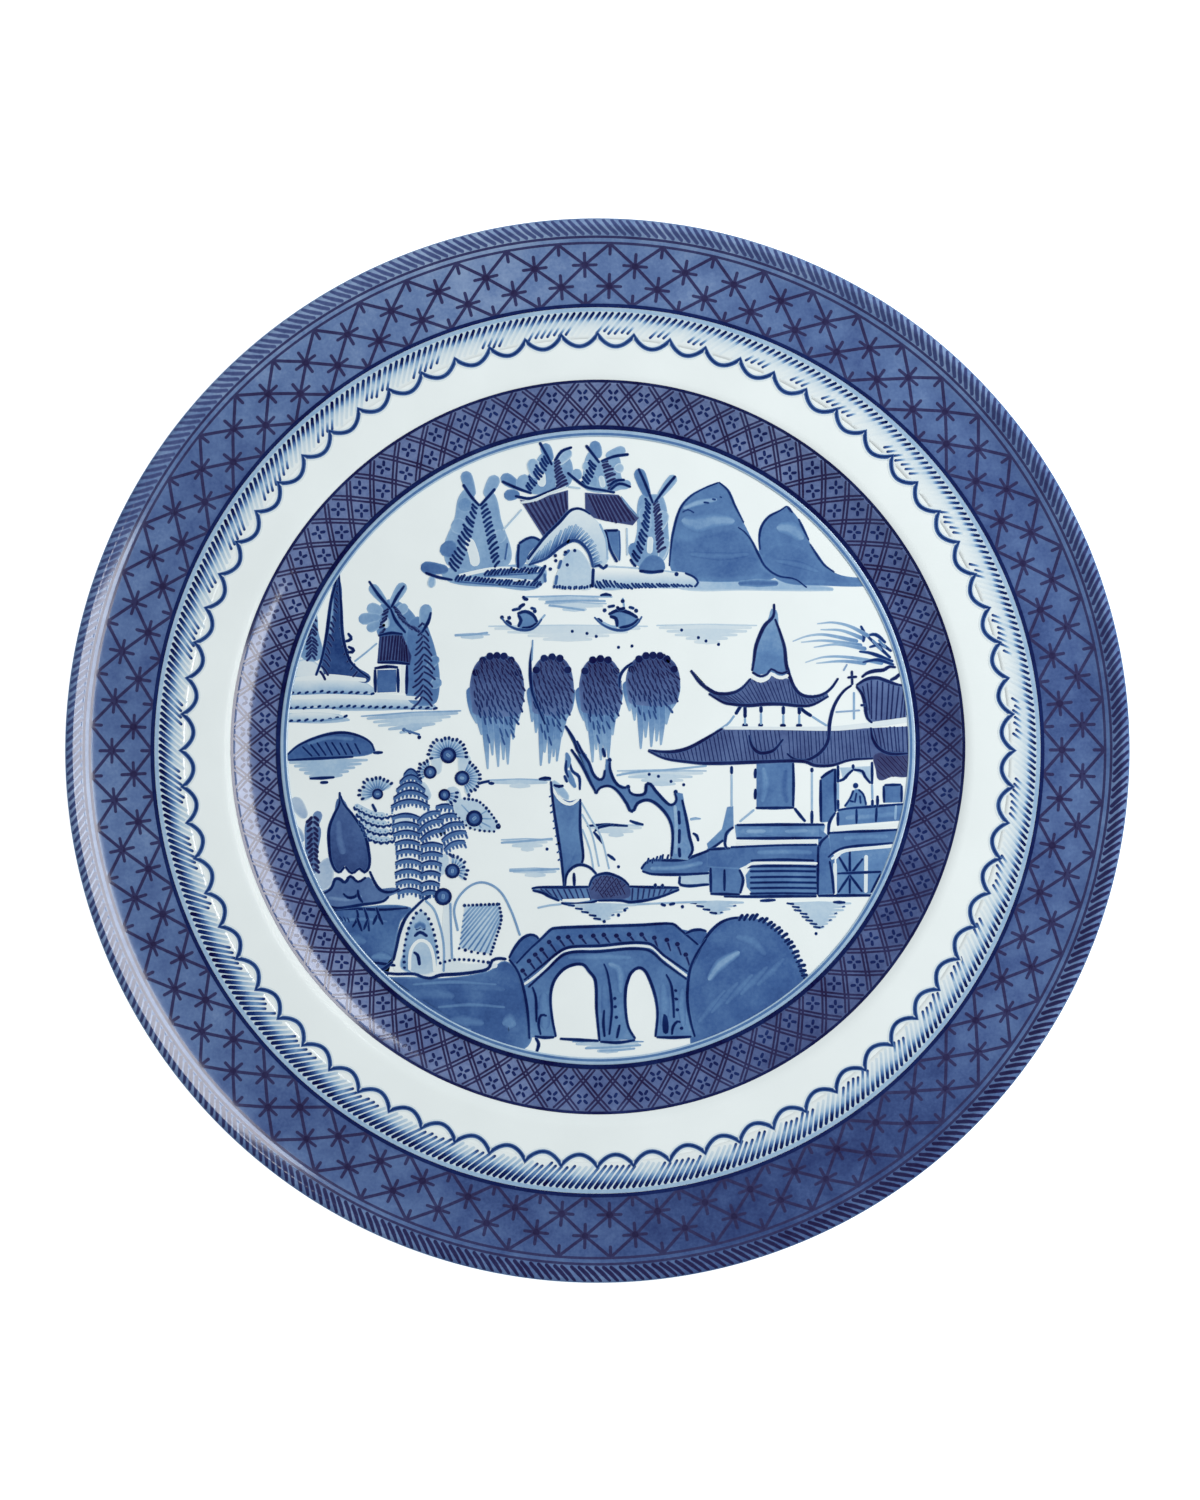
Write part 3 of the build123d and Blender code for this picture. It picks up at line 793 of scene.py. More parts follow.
class Scene(Ink):
    """Ink for the landscape. Whatever would pass the line round the well stops there."""

    def __init__(self, layer=0, warm=0.0):
        super().__init__(warm, layer)

    def inside(self, path):
        """From the drawing's plan, as wide as the rim shows it, to the well further down."""
        out = np.asarray(path, float) * WELL_SCALE - PRINT_OFFSET + DRAWING_SHIFT
        far = np.maximum(np.linalg.norm(out, axis=-1, keepdims=True) / FIELD_R, 1.0)
        return out / far + PRINT_OFFSET

    def sheet(self, grid, density, ring=False):
        super().sheet(self.inside(grid), density, ring)

    def wash(self, outline, density, feather=0.35, edge=None, straight=False):
        ring = polyline(outline, True, 2.0) if straight else curve(outline, True, 1.0)
        super().wash(self.inside(ring), density, feather, edge, straight=True)

    def line(self, points, width=0.7, density=0.9, straight=False, soft=None, under=0.3):
        """Unless told otherwise, dark strokes have soft edges, as a brush leaves them."""
        tone = float(np.max(density))
        if soft is None:
            soft, under = (0.2, 0.68 * tone) if tone > 0.5 else (0.0, 0.0)
            width = np.multiply(width, STROKE_GAIN)
        super().line(points, width, density, straight, soft, under)

    def brush(self, points, width, density, ground=None):
        """A soft-edged stroke of thin colour, on bare glaze or on a ground of that tone."""
        tone = float(np.mean(density))
        edge = tone * (0.8 if tone > 0.4 else 0.5) if ground is None else ground
        self.line(points, width, density, soft=0.45 if ground is None else 1.2, under=edge)

    def lobes(self, *leaves):
        """Round-ended leaves of thin colour: tip, base, width, density."""
        for tip, base, width, density in leaves:
            self.brush([tip, base], (width, 0.9 * width, 0.6 * width), density)

    def reflection(self, x_left, x_right, y, depth):
        """An upside-down peak of pale streaks, dark at the left ends."""
        rows, span = round(depth / 0.8), x_right - x_left
        for k in range(rows):
            draw_in = 0.46 * span * (k + 0.3) / rows + DRAW.uniform(-0.3, 0.3)
            left, right, low = x_left + draw_in, x_right - draw_in, y - 0.8 * k
            self.line([(left, low), (right, low + 0.1)], (0.5, 1.0, 0.4), 0.28, straight=True)
            self.layer += 1
            self.line([(left - 0.2, low + 0.15), (left + 1.7, low - 0.1)], (0.4, 0.6), 0.90, straight=True)
            if k % 2:
                self.line([(right - 0.9, low), (right - 0.2, low + 0.25)], 0.4, 0.8, straight=True)
            self.layer -= 1

    def ripple(self, x_left, x_right, y, depth, density=0.24, rise=0.0):
        """Still water: a thin line with shorter and shorter streaks of pale colour below it."""
        rows, span = max(1, round(depth / 0.85)), x_right - x_left
        self.line([(x_left, y), ((x_left + x_right) / 2, y + 0.1 + rise / 2), (x_right, y + rise)],
                  (0.3, 0.6, 0.3), 1.5 * density)
        for k in range(rows):
            draw_in = span * 0.42 * ((k + 0.4) / rows) ** 1.3
            left, right = x_left + draw_in + DRAW.uniform(0, 1.2), x_right - draw_in - DRAW.uniform(0, 1.2)
            if right > left + 1:
                low = y - 0.55 - 0.85 * k
                self.line([(left, low), ((left + right) / 2, low + 0.08 + rise / 2), (right, low + rise)],
                          (0.5, 1.15, 0.5), density * DRAW.uniform(0.8, 1.15))


def mountains(material):
    ink = Scene()
    ink.wash([(17.3, 40.6), (20, 37.9), (35, 37.7), (56, 37.6), (56, 38.4), (46, 40.2), (30, 40.8)], 0.36,
             0.5)
    ink.wash([(38.6, 46), (38.5, 50.5), (40.5, 55), (43.5, 56.8), (45, 57.6), (48, 54.5), (50.3, 49.5),
              (53, 45), (56.3, 42), (60.5, 40.9), (66, 40.7), (66, 38.9), (52, 38.9), (45, 39.4),
              (40.5, 42)], FILL + 0.01, 0.3)
    ink.wash([(17.2, 43.5), (17.8, 50.5), (19.6, 57), (24, 61.4), (28.8, 63.3), (31, 61.3), (34.8, 53.8),
              (38.4, 47), (42.5, 41.4), (40, 40.1), (20, 40.3)], FILL, 0.3)
    ink.layer = 1
    ink.wash([(17.5, 43.5), (17.9, 49.4), (22, 50.3), (27, 51.8), (32, 52.4), (35.5, 50.8), (38, 46.4),
              (39.6, 43), (41.6, 41.2), (39, 40.5), (20, 40.6)], 0.64, 1.1, edge=0.59)
    ink.wash([(38.9, 45), (42, 48.6), (47, 48.6), (51.5, 46), (54.5, 43), (59, 40.9), (63.8, 40),
              (62, 39.3), (52, 39.5), (45, 39.9), (40.5, 42.5)], 0.63, 1.0, edge=0.59)
    ink.layer = 2
    ink.brush([(20, 54.4), (24, 53.6), (28, 54.4), (32.6, 54.2)], (2.4, 4.2, 3.4, 2.0), 0.47, FILL)
    ink.brush([(20.4, 57.2), (24, 58.6), (28.4, 59.4)], (1.0, 1.8, 1.2), 0.42, FILL)
    ink.brush([(42.6, 52.6), (45.8, 52.4), (49, 50)], (2.2, 3.8, 2.6), 0.47, FILL)
    ink.brush([(22, 46.4), (30, 45.8), (36, 46.4)], (1.2, 2.0, 1.2), 0.61, 0.68)
    ink.brush([(42.4, 44.8), (48, 43.8), (52.6, 42.2)], (1.0, 1.8, 1.0), 0.60, 0.67)
    ink.brush([(33.5, 39.4), (38, 39.5), (43, 39.4)], (1.2, 2.0, 1.2), 0.66, 0.5)
    ink.layer = 3
    for points in ([(17.1, 43.5), (17.4, 47), (17.9, 51), (19.6, 57), (22, 60), (25, 61.8), (28.8, 63.4)],
                   [(28.8, 63.5), (31, 61.5), (32.8, 57.6), (34.8, 53.8)],
                   [(33.4, 52.8), (35, 51.6), (36.6, 49.6), (38.4, 46), (40, 43.3), (43, 41.2), (47, 40.4),
                    (49.8, 38.4)],
                   [(38.7, 47.4), (38.5, 50), (39, 52.8), (40.7, 55.2), (43.6, 56.8), (45, 57.8)],
                   [(45, 57.8), (46.4, 56.2)], [(47.8, 54.8), (49, 52.2), (50.3, 49.6)],
                   [(50.5, 48.8), (52, 46.4), (54, 43.7), (56.4, 42)]):
        ink.line(points, (0.4, 0.68, 0.62, 0.4), 0.88)
    ink.lines([(20.2, 56.3), (21.5, 56.9), (23, 56.2)], [(25.2, 58.7), (26.6, 58.5)],
              [(27.2, 59.5), (28.2, 59.3)], [(29, 60), (29.6, 59.8)], width=0.55, density=0.82)
    ink.piece("mountain_strokes", "mountains", "bank_blue", material)


def far_trees(ink):
    """Three leafy trees and the tufts over the two thatched houses."""
    ink.wash([(-33, 60), (-30.6, 62), (-28, 58.4), (-25.4, 61.6), (-23, 55), (-21.4, 43.6), (-35, 43.4),
              (-36.5, 48), (-34, 55)], 0.45, 0.5)
    ink.wash([(-15.8, 66), (-12.8, 70.6), (-10.6, 68.4), (-7, 69.6), (-6, 64), (-8.6, 61.6), (-15, 60.6),
              (-18, 62.4)], 0.48, 0.5)
    ink.wash([(-3.4, 66), (-1.6, 71), (0.6, 68.6), (4.8, 69.8), (5.6, 65), (6.4, 62), (-2.6, 61.6)], 0.44,
             0.5)
    ink.wash([(10, 60), (13, 60.6), (15.6, 60), (16.8, 53), (16, 45), (9, 44), (9.4, 52)], 0.46, 0.5)
    ink.lobes(((-31.6, 66), (-29.6, 60), 3.0, 0.50), ((-24, 65), (-26.6, 60), 3.2, 0.46),
              ((-32.8, 59), (-30, 57), 4.2, 0.50), ((-34.6, 53.8), (-31, 52), 4.2, 0.46),
              ((-36.6, 49), (-34, 46), 4.8, 0.62), ((-42, 43.3), (-35.5, 42.6), 3.2, 0.66),
              ((-39.6, 38.4), (-39.2, 41.3), 2.2, 0.40), ((-22.6, 52), (-24, 49), 3.4, 0.42),
              ((-22, 47.5), (-24, 45), 3.4, 0.46))
    ink.lobes(((-12.8, 72.6), (-11, 68.5), 2.9, 0.56), ((-6.4, 71), (-9.4, 67.8), 2.6, 0.40),
              ((-15.6, 69), (-14.6, 64.5), 3.4, 0.40), ((-22.8, 65), (-18.5, 62.2), 3.2, 0.52),
              ((-22.2, 60.3), (-18.5, 60.6), 3.0, 0.58), ((-19, 64.3), (-15.8, 62.2), 4.4, 0.44),
              ((-7.8, 64.4), (-9.6, 61.8), 3.0, 0.42), ((-5.6, 66.4), (-4.2, 64.2), 2.8, 0.44))
    ink.lobes(((-1, 73.2), (0.4, 69.2), 3.0, 0.54), ((6.6, 71.3), (2, 69.6), 2.6, 0.42),
              ((-3.1, 68.2), (-1.2, 65.6), 2.9, 0.40), ((6.2, 67), (4, 66.6), 2.6, 0.36),
              ((7.9, 63.2), (4.8, 62.4), 2.4, 0.46), ((-2, 65), (-0.4, 62.6), 3.4, 0.46))
    ink.lobes(((9.6, 66.6), (12, 60), 3.0, 0.60), ((18.5, 65), (14.6, 60), 2.5, 0.42),
              ((16, 56.6), (14.6, 52), 3.2, 0.38), ((10.9, 57.4), (12, 52), 3.0, 0.44),
              ((8.4, 49), (9.6, 44.6), 3.4, 0.52), ((16.4, 50), (15, 45), 2.6, 0.40))
    ink.layer += 1
    ink.brush([(-30.8, 50), (-29.5, 46.5), (-29, 43.5)], 2.4, 0.10)
    ink.brush([(-13.4, 66), (-13.2, 62.4)], 2.0, 0.12)
    ink.brush([(0.8, 65), (1.4, 62.2)], 1.4, 0.22)
    ink.brush([(12.6, 50.5), (12.4, 46.5)], 1.4, 0.14)
    ink.layer += 1
    for points in ([(-32, 63), (-30, 60), (-28, 57.8)], [(-24.3, 62), (-26, 60), (-28, 57.8)],
                   [(-41, 42), (-38, 40.9), (-34.4, 40.2)],
                   [(-13.8, 73), (-12, 69.8), (-10.8, 67.5)], [(-10.2, 68.4), (-8.5, 70.8), (-6, 71.8)],
                   [(-22.8, 63.7), (-19, 62), (-15.6, 60.8)],
                   [(-19.7, 60.2), (-16, 59.6), (-12, 61), (-9, 62.4), (-7, 63.4)],
                   [(-2.8, 72.3), (-1, 70), (0.5, 68)], [(7.5, 70.1), (4, 69.6), (0.8, 68.4)],
                   [(-7.2, 65.8), (-4.6, 63.6), (-2.4, 62.2), (1, 61.6), (4.2, 61)],
                   [(3, 61.6), (5.2, 63.1), (8, 62.3)], [(2.8, 62.6), (4.4, 63.8), (6.6, 64)],
                   [(9.7, 66.8), (11.4, 63), (13.2, 58.4)], [(18.6, 65), (16.4, 62.4), (13.6, 58.6)]):
        ink.line(points, (0.7, 0.75, 0.6), 0.93)
    ink.dabs([(-28.4, 57), (-29.8, 51), (-31.6, 45.6), (-33.4, 42)], 15, (2.2, 3.4, 3.0), 132, 0.66)
    ink.dabs([(-27.8, 57), (-26.6, 51), (-25.4, 45.6), (-24.6, 43.2)], 14, (2.2, 2.9, 2.4), 42, 0.66)
    ink.dabs([(-11.6, 67.8), (-13.2, 64.4), (-15.8, 61.2)], 10, (2.6, 3.0, 2.2), 127, 0.66)
    ink.dabs([(-0.2, 67), (-1.2, 64.4), (-2.4, 62.2)], 7, 2.4, 128, 0.66)
    ink.dabs([(12.8, 58), (12.2, 52), (11, 47.5), (9.2, 43.4)], 15, (2.2, 2.8, 2.4), 124, 0.66)
    ink.warm = 0.5
    ink.dabs([(-10.4, 67.8), (-10, 64.5), (-9.8, 61.6)], 9, (1.8, 2.6, 3.0), 38, 0.66)
    ink.dabs([(0.9, 68.2), (1.6, 65), (2.6, 61.8)], 9, (1.8, 2.6, 2.8), (14, 24), 0.66)
    ink.dabs([(13.3, 58), (13.7, 52.4), (14.2, 46.6)], 14, (1.8, 2.6, 2.6), 45, 0.66)
    ink.warm = 0.0
    ink.wash([(10, 42.2), (11, 45), (13, 46.2), (15.6, 45), (15.7, 42.3)], 0.62)
    ink.line([(9.9, 42.4), (13, 42.1), (15.8, 42.4)], 0.8, 0.92)


def far_houses(ink):
    """Thatched roofs, windows and posts."""
    ink.warm = 0.7
    ink.wash([(-18.5, 59.3), (-15, 58.7), (-11.5, 60.4), (-7, 61.6), (-6.9, 57), (-9.5, 53.6),
              (-12.8, 50.3)], 0.74, 0.25, straight=True)
    ink.wash([(-3, 61), (1, 60.7), (5, 60.5), (9.9, 55), (8.4, 53.2), (2, 54.2), (-1, 55), (-2.9, 57)],
             0.76, 0.25, straight=True)
    ink.layer += 1
    ink.hatch([(-18, 58.8), (-15, 58.9), (-7.2, 61.4)], [(-12.9, 50.6), (-9.6, 53.8), (-7, 57.4)], 9, 0.72,
              0.93)
    ink.hatch([(-2.6, 60.6), (5.2, 60.2)], [(0, 54.9), (4.6, 53.7), (9.4, 54.4)], 9, 0.72, 0.93)
    ink.warm = 0.0
    ink.wash([(5.6, 60), (8, 57.4), (9.9, 55), (8.6, 56)], 0.5, 0.2)
    ink.line([(-18.2, 58.6), (-15.4, 59.1), (-11.4, 60.8), (-7.4, 62.3)], 0.5, 0.14)
    ink.wash([(-19, 43), (-18.8, 48.8), (-16.8, 50), (-15, 50.3), (-13.3, 49.2), (-15, 47), (-16.6, 45)],
             0.60, 0.2)
    ink.wash([(2, 51.6), (5.1, 52), (5.2, 44.6), (3.6, 47.2)], FILL, 0.2, straight=True)
    ink.layer += 1
    ink.lines([(-18.9, 43), (-18.9, 46), (-18.7, 48.8)],
              [(-18.7, 48.8), (-16.8, 50), (-15.2, 50.3), (-13.4, 49.4)],
              [(-13.5, 49.3), (-15, 47.4), (-16.7, 45.2)], [(1.5, 51.9), (5, 52)],
              [(1.9, 52), (3.1, 47.4), (4.7, 44.4)], width=0.68, density=0.92)
    ink.lines([(5.1, 52), (5.3, 48), (5.2, 44.8)], [(-21.4, 49), (-22, 45)], width=0.5, density=0.72)
    ink.lines([(-18, 57), (-22.5, 52)], [(7, 52.6), (7.1, 46)], [(-7, 62.4), (-4, 62)], width=0.4,
              density=0.26)


def rock_arch(ink):
    ink.wash([(-16.9, 44.6), (-12.5, 50.4), (-9, 54), (-6, 56.8), (-4.8, 57.1), (-2, 55.8), (0.6, 53.4),
              (2.1, 49.5), (2.5, 44.6), (1, 43.4), (-1, 43.2), (-2.2, 46.8), (-4.2, 49.2), (-6.4, 49.4),
              (-9.2, 47.8), (-12.4, 45.4)], lambda x, y: 0.30 - 0.016 * (y - 44), 0.3, edge=0.2)
    ink.wash([(-10.2, 38.6), (-9.6, 42), (-8.3, 45), (-6.5, 47.2), (-4.8, 47.6), (-3, 46), (-1.3, 42.6),
              (-1.1, 38.4), (-5.5, 38)], 0.27, 0.35)
    ink.layer += 1
    inner = [(-16.4, 43.8), (-12.2, 45.4), (-9, 48), (-6, 49.6), (-4, 49.1), (-2, 46.6), (-1, 43.2)]
    outer = [(-14.4, 46.4), (-11, 49.6), (-8, 52.4), (-5.4, 53.6), (-2.4, 51.6), (-0.2, 48.4), (1.2, 44)]
    ink.hatch(inner, outer, 27, 0.5, (0.84, 0.66, 0.42, 0.30), 0.12)
    ink.line(inner, (0.6, 0.9, 0.7), 0.82)
    ink.line([(-1.4, 43.4), (0.4, 43.7), (1.4, 43), (2.4, 43.9)], 0.75, 0.9)
    ink.lines([(-16.6, 45), (-12.5, 50.5), (-9, 54), (-6.6, 56.6), (-5, 57.2), (-3.4, 56.9), (-1.6, 55.8)],
              width=(0.5, 0.8, 0.75, 0.5), density=0.93)
    ink.lines([(0.5, 53.6), (2, 50), (2.4, 45)], width=0.45, density=0.4)
    ink.lines([(-12.3, 43.8), (-13.6, 41.4), (-15.2, 39.7)], [(-1, 43), (-1.1, 40.6), (-1.2, 38.4)],
              width=0.75, density=0.92)
    ink.dabs([(-10.4, 38.2), (-6, 37.9), (-1.6, 38.2)], 14, 0.9, 80, 0.6, 0.86)
    ink.lines([(-10, 39), (-9.6, 41.4)], [(-9.3, 42.8), (-8.6, 45)], [(-8, 46), (-6.6, 47.4)],
              [(-12.6, 41.8), (-12.4, 39.6)], width=0.7, density=0.7)
    ink.dots((-11.2, 42.8), (-7.2, 43.8), (-10, 46), (-7.6, 46.8), (-13.6, 39.2), (-5.4, 47.2),
             (-9.9, 44.8))


def far_shore(ink):
    """The low bank: dark at the waterline, white along the top."""
    ink.wash([(-0.8, 43.3), (9, 42.9), (18, 42.3), (21.5, 41.7), (24, 39.8), (23.4, 38.4), (10, 38.3),
              (-0.8, 38.4)], lambda x, y: 0.46 - 0.09 * (y - 38.3), 0.3, edge=0.2)
    ink.wash([(-37, 42.6), (-24, 43.6), (-12.6, 43), (-14.2, 38.2), (-24, 38.5), (-35, 39.6)], 0.44, 0.3)
    ink.layer += 1
    ink.brush([(-33, 41.2), (-24, 42.9), (-13.5, 42.4)], 0.9, 0.06)
    ink.brush([(-30, 40.4), (-22, 40.4), (-14.6, 39.8)], 0.7, 0.14)
    ink.dabs([(0, 38.2), (12, 38.3), (22.6, 38.6)], 28, (2.4, 1.8, 1.2), (122, 150), 0.55, 0.88)
    ink.line([(20.8, 41.9), (23, 40.9), (23.9, 39.6), (23, 38.5)], 0.6, 0.9)
    ink.line([(2, 43.4), (10, 43), (19, 42)], 0.35, 0.3)
    ink.dot(18.8, 41.6, 1.0)
    for row, count in (([(-27, 41.2), (-20, 41.5), (-13.4, 41.9)], 18),
                       ([(-34, 39.9), (-25, 39.1), (-14.6, 38.4)], 25)):
        ink.line(row, 0.5, 0.70)
        ink.dabs(row, count, 1.9, 54, 0.62, 0.9)


def far_island(material):
    ink = Scene(layer=4)
    far_shore(ink)
    far_trees(ink)
    far_houses(ink)
    rock_arch(ink)
    ink.piece("far_island_strokes", "far_island", "island_blue", material)


def fishing_boats(material):
    ink = Scene(layer=1)
    ink.wash([(-18.9, 31.8), (-16.5, 32.3), (-15, 31.2), (-14.4, 29.8), (-16, 28.8), (-18.6, 28.8),
              (-18.3, 30.4)], 0.58, 0.2)
    ink.wash([(2.8, 31.8), (5, 32.7), (9.8, 31), (8.2, 29.5), (5, 28.8), (4.3, 30.6)], 0.56, 0.2)
    ink.layer = 2
    ink.lines([(-19.1, 32.1), (-17.2, 32.7), (-15.3, 31.8), (-14.3, 30)],
              [(-14.3, 30), (-16, 28.9), (-18, 28.8)], [(-18.9, 32), (-18.2, 30.6), (-18.9, 29)],
              [(-21.8, 30.6), (-20.4, 29.5)], [(-18.8, 33), (-18.3, 33.9), (-17.2, 34.5)],
              [(-17.8, 36.4), (-17.2, 35.7), (-16.4, 35.6)], width=(0.7, 0.9, 0.7), density=0.93)
    ink.lines([(2.6, 32), (5, 33), (7.5, 32.4), (9.6, 31.2)], [(9.9, 31), (8.2, 29.5), (5.2, 28.8)],
              [(2.9, 31.6), (4.4, 31), (4.7, 29)], [(4.6, 34), (5.2, 33.2), (6.6, 33.6)],
              [(-0.2, 31), (1.2, 30.2)], width=(0.7, 0.95, 0.7), density=0.93)
    ink.lines([(-22.8, 31.2), (-21.4, 29.6), (-19, 28.5), (-16, 28.4), (-14.2, 29.6), (-13.2, 31)],
              [(-0.8, 31.4), (1.2, 29.6), (4, 28.4), (7, 28.4), (9.4, 29.8), (10.6, 31.6)],
              width=(0.4, 0.75, 0.4), density=0.8)
    ink.lines([(-20.4, 33), (-18.6, 33.4)], [(-16, 33.6), (-14.6, 33.2)], [(2.4, 33.8), (4.2, 34.1)],
              [(7.4, 33.8), (8.8, 33.4)], width=0.7, density=0.88)
    ink.lines([(1.2, 30.2), (3, 29.3), (4.6, 28.9)], [(-14, 30.2), (-12.4, 32)], [(6.4, 33.4), (6, 36)],
              width=0.45, density=0.4)
    ink.dots((-22.7, 31.3), (-21, 31.2), (-14.9, 32.8), (1.7, 33), (9.2, 32.9), (6, 35.2), size=0.95)
    ink.piece("fishing_boat_strokes", "fishing_boats", "house_blue", material)


def willow_bunch(ink, x, half, top, bottom, lean_out):
    """One hanging bunch of leaves: rows of short dark dabs over strands that thin out downwards."""
    fall = top - bottom
    share = (0.0, 0.04, 0.12, 0.28, 0.45, 0.60, 0.80, 1.0)
    reach = (0.34, 0.64, 0.87, 1.0, 0.92, 0.68, 0.42, 0.22)

    def width_at(y):
        return half * np.interp((top - y) / fall, share, reach)

    layer, ink.warm = ink.layer, 0.0
    for lean, low in ((-1.0, 0.40), (-0.78, 0.30), (-0.50, 0.0), (-0.28, 0.12), (-0.02, 0.02), (0.22, 0.08),
                      (0.42, 0.04), (0.66, 0.26), (0.88, 0.42)):
        stop = (x + lean * 0.80 * half + lean_out, bottom + fall * low)
        ink.line([(x + lean * half * 0.96, top - 0.28 * fall), (x + lean * half * 0.90, top - 0.48 * fall),
                  stop], (2.2, 2.0, 1.3, 0.4), (0.66, 0.60, 0.52, 0.40))
    ink.layer = layer + 1
    side = [top - fall * s for s in (0.0, 0.04, 0.12, 0.28, 0.42, 0.52)]
    outline = [(x + width_at(y), y) for y in side] + [(x - width_at(y), y) for y in side[::-1]]
    ink.warm = 0.5
    ink.wash(outline, lambda px, py: 0.60 + 0.20 * np.clip((py - top + 0.55 * fall) / (0.55 * fall), 0, 1),
             0.5, edge=0.6)
    ink.layer = layer + 2
    row, y = 0, top - 0.5
    while y > top - 0.80 * fall:
        depth, row = (top - y) / fall, row + 1
        reach_here = width_at(y) - 0.35
        count = max(3, int(2 * reach_here / 1.15))
        ink.warm = float(np.interp(depth, (0.0, 0.35, 0.6), (0.6, 0.45, 0.0)))
        for i in range(count):
            lean = (i + 0.5 + 0.5 * (row % 2)) / count * 2 - 1
            if lean > 1 or (depth > 0.45 and DRAW.uniform() < (depth - 0.42) * 2.4):
                continue
            middle = np.array([x + lean * reach_here + lean_out * depth,
                y + 0.2 * DRAW.normal() - 0.06 * half * lean**2])
            way = polar(0.8 + 0.5 * depth, -60 - 18 * depth + 10 * lean + 6 * DRAW.normal())
            tone = float(np.interp(depth, (0, 0.4, 0.7), (0.95, 0.90, 0.76)))
            ink.line([middle - way, middle + way], (0.36, 0.66, 0.46), tone, straight=True)
        y -= 1.05 + 0.75 * depth
    ink.warm, bumps = 0.15, max(5, int(half * 1.1))
    for i in range(bumps):
        lean = (i + 0.5) / bumps * 2 - 1
        ink.dot(x + lean * 0.90 * half, top - 0.15 - 0.24 * fall * abs(lean) ** 3.2, 1.75, 0.95)
    ink.warm = 0.0


def willow_trunk(ink):
    ink.wash([(-7.6, 5.4), (-5.5, 2), (-4, -1), (-2.6, -1.2), (-1.6, -4.6), (0.3, -7.2), (1.6, -6.8),
              (2, -2.4), (2.9, -2.4), (3.1, -5), (4.4, -8), (7.3, -9.2), (7.8, -10.6), (9.5, -11),
              (11.3, -10.5), (12, -8), (14, -10), (17, -13.2), (18.3, -13), (18.6, -10.2), (20.3, -10.6),
              (21.3, -17), (22.3, -24), (21.6, -26.4), (17.6, -26), (17.8, -20), (17, -16.5), (14.5, -13.6),
              (12, -12.2), (9.5, -12.8), (8.2, -14.8), (7, -13), (5, -10.3), (3, -8.8), (0.8, -9.1),
              (-0.3, -10.3), (-1.5, -8), (-3.5, -4)], lambda x, y: 0.60 + 0.006 * (y + 10), 0.3, edge=0.5,
             straight=True)
    ink.layer += 1
    for points in ([(-7.7, 5.6), (-5.6, 2.2), (-4.4, -0.8), (-2.9, -1.1)],
                   [(-6.3, 0), (-3.6, -4), (-1.6, -8), (-0.4, -10.2)],
                   [(-5, 2), (-3.4, -1.2), (-2.1, -3.2), (-1, -6), (0.4, -7.3), (1.4, -6.9), (1.8, -4.9)],
                   [(1.2, 0.3), (1.8, -2)], [(2.9, -2.5), (3, -5), (4.3, -8), (6, -9.2), (7.4, -9)],
                   [(7.3, -8.8), (7.8, -10.4), (9.5, -11), (11.3, -10.5), (12, -8.2), (14, -10.2),
                    (17, -13.2), (18.2, -13.1), (18.8, -12), (18.4, -10.4)],
                   [(-0.3, -10.3), (0.8, -9.1), (3, -8.8), (5, -10.2), (7, -13), (8.2, -14.8), (9.5, -12.9),
                    (12, -12.1), (14.6, -13.5), (17, -16.5), (17.9, -20), (17.6, -25.6)],
                   [(20.1, -12), (21.2, -17), (21.9, -21), (22.6, -24), (21.6, -26)]):
        ink.line(points, (0.6, 0.8, 0.8, 0.6), 0.93)
    ink.lines([(19.3, -14.6), (19.5, -18)], [(19.5, -19), (19.4, -22.5)], [(19.4, -23.4), (19.6, -25.8)],
              width=0.8, density=0.9)
    ink.line([(18.4, -13.4), (18.7, -18), (18.6, -25)], 0.7, 0.42)
    ink.dots((2.9, -2.6), (7.3, -9), (-0.3, -10.2), (18.6, -10.2), size=1.0)


def willow_tree(material):
    ink = Scene(layer=3)
    for x, half, top, bottom, lean_out in ((-23.9, 6.5, 22.3, -4.8, 0.4), (-10.8, 5.2, 22.0, -4.0, -0.6),
                                           (0.7, 5.1, 21.6, -3.2, 0.2), (13.2, 6.5, 22.4, 0.0, -0.3)):
        ink.layer = 3
        willow_bunch(ink, x, half, top, bottom, lean_out)
    ink.layer = 6
    ink.lines([(-15.5, 24.4), (-16, 20.5), (-15.6, 14), (-14, 9.6), (-12.4, 5.8)],
              [(5.2, 14.6), (5.4, 17.4), (6.6, 19.2), (8.4, 20.6)], width=(0.4, 0.8, 0.7, 0.5),
              density=0.94)
    ink.line([(-15.4, 26), (-15.6, 21)], 0.35, 0.5)
    willow_trunk(ink)
    ink.piece("willow_strokes", "willow_tree", "deep_blue", material)


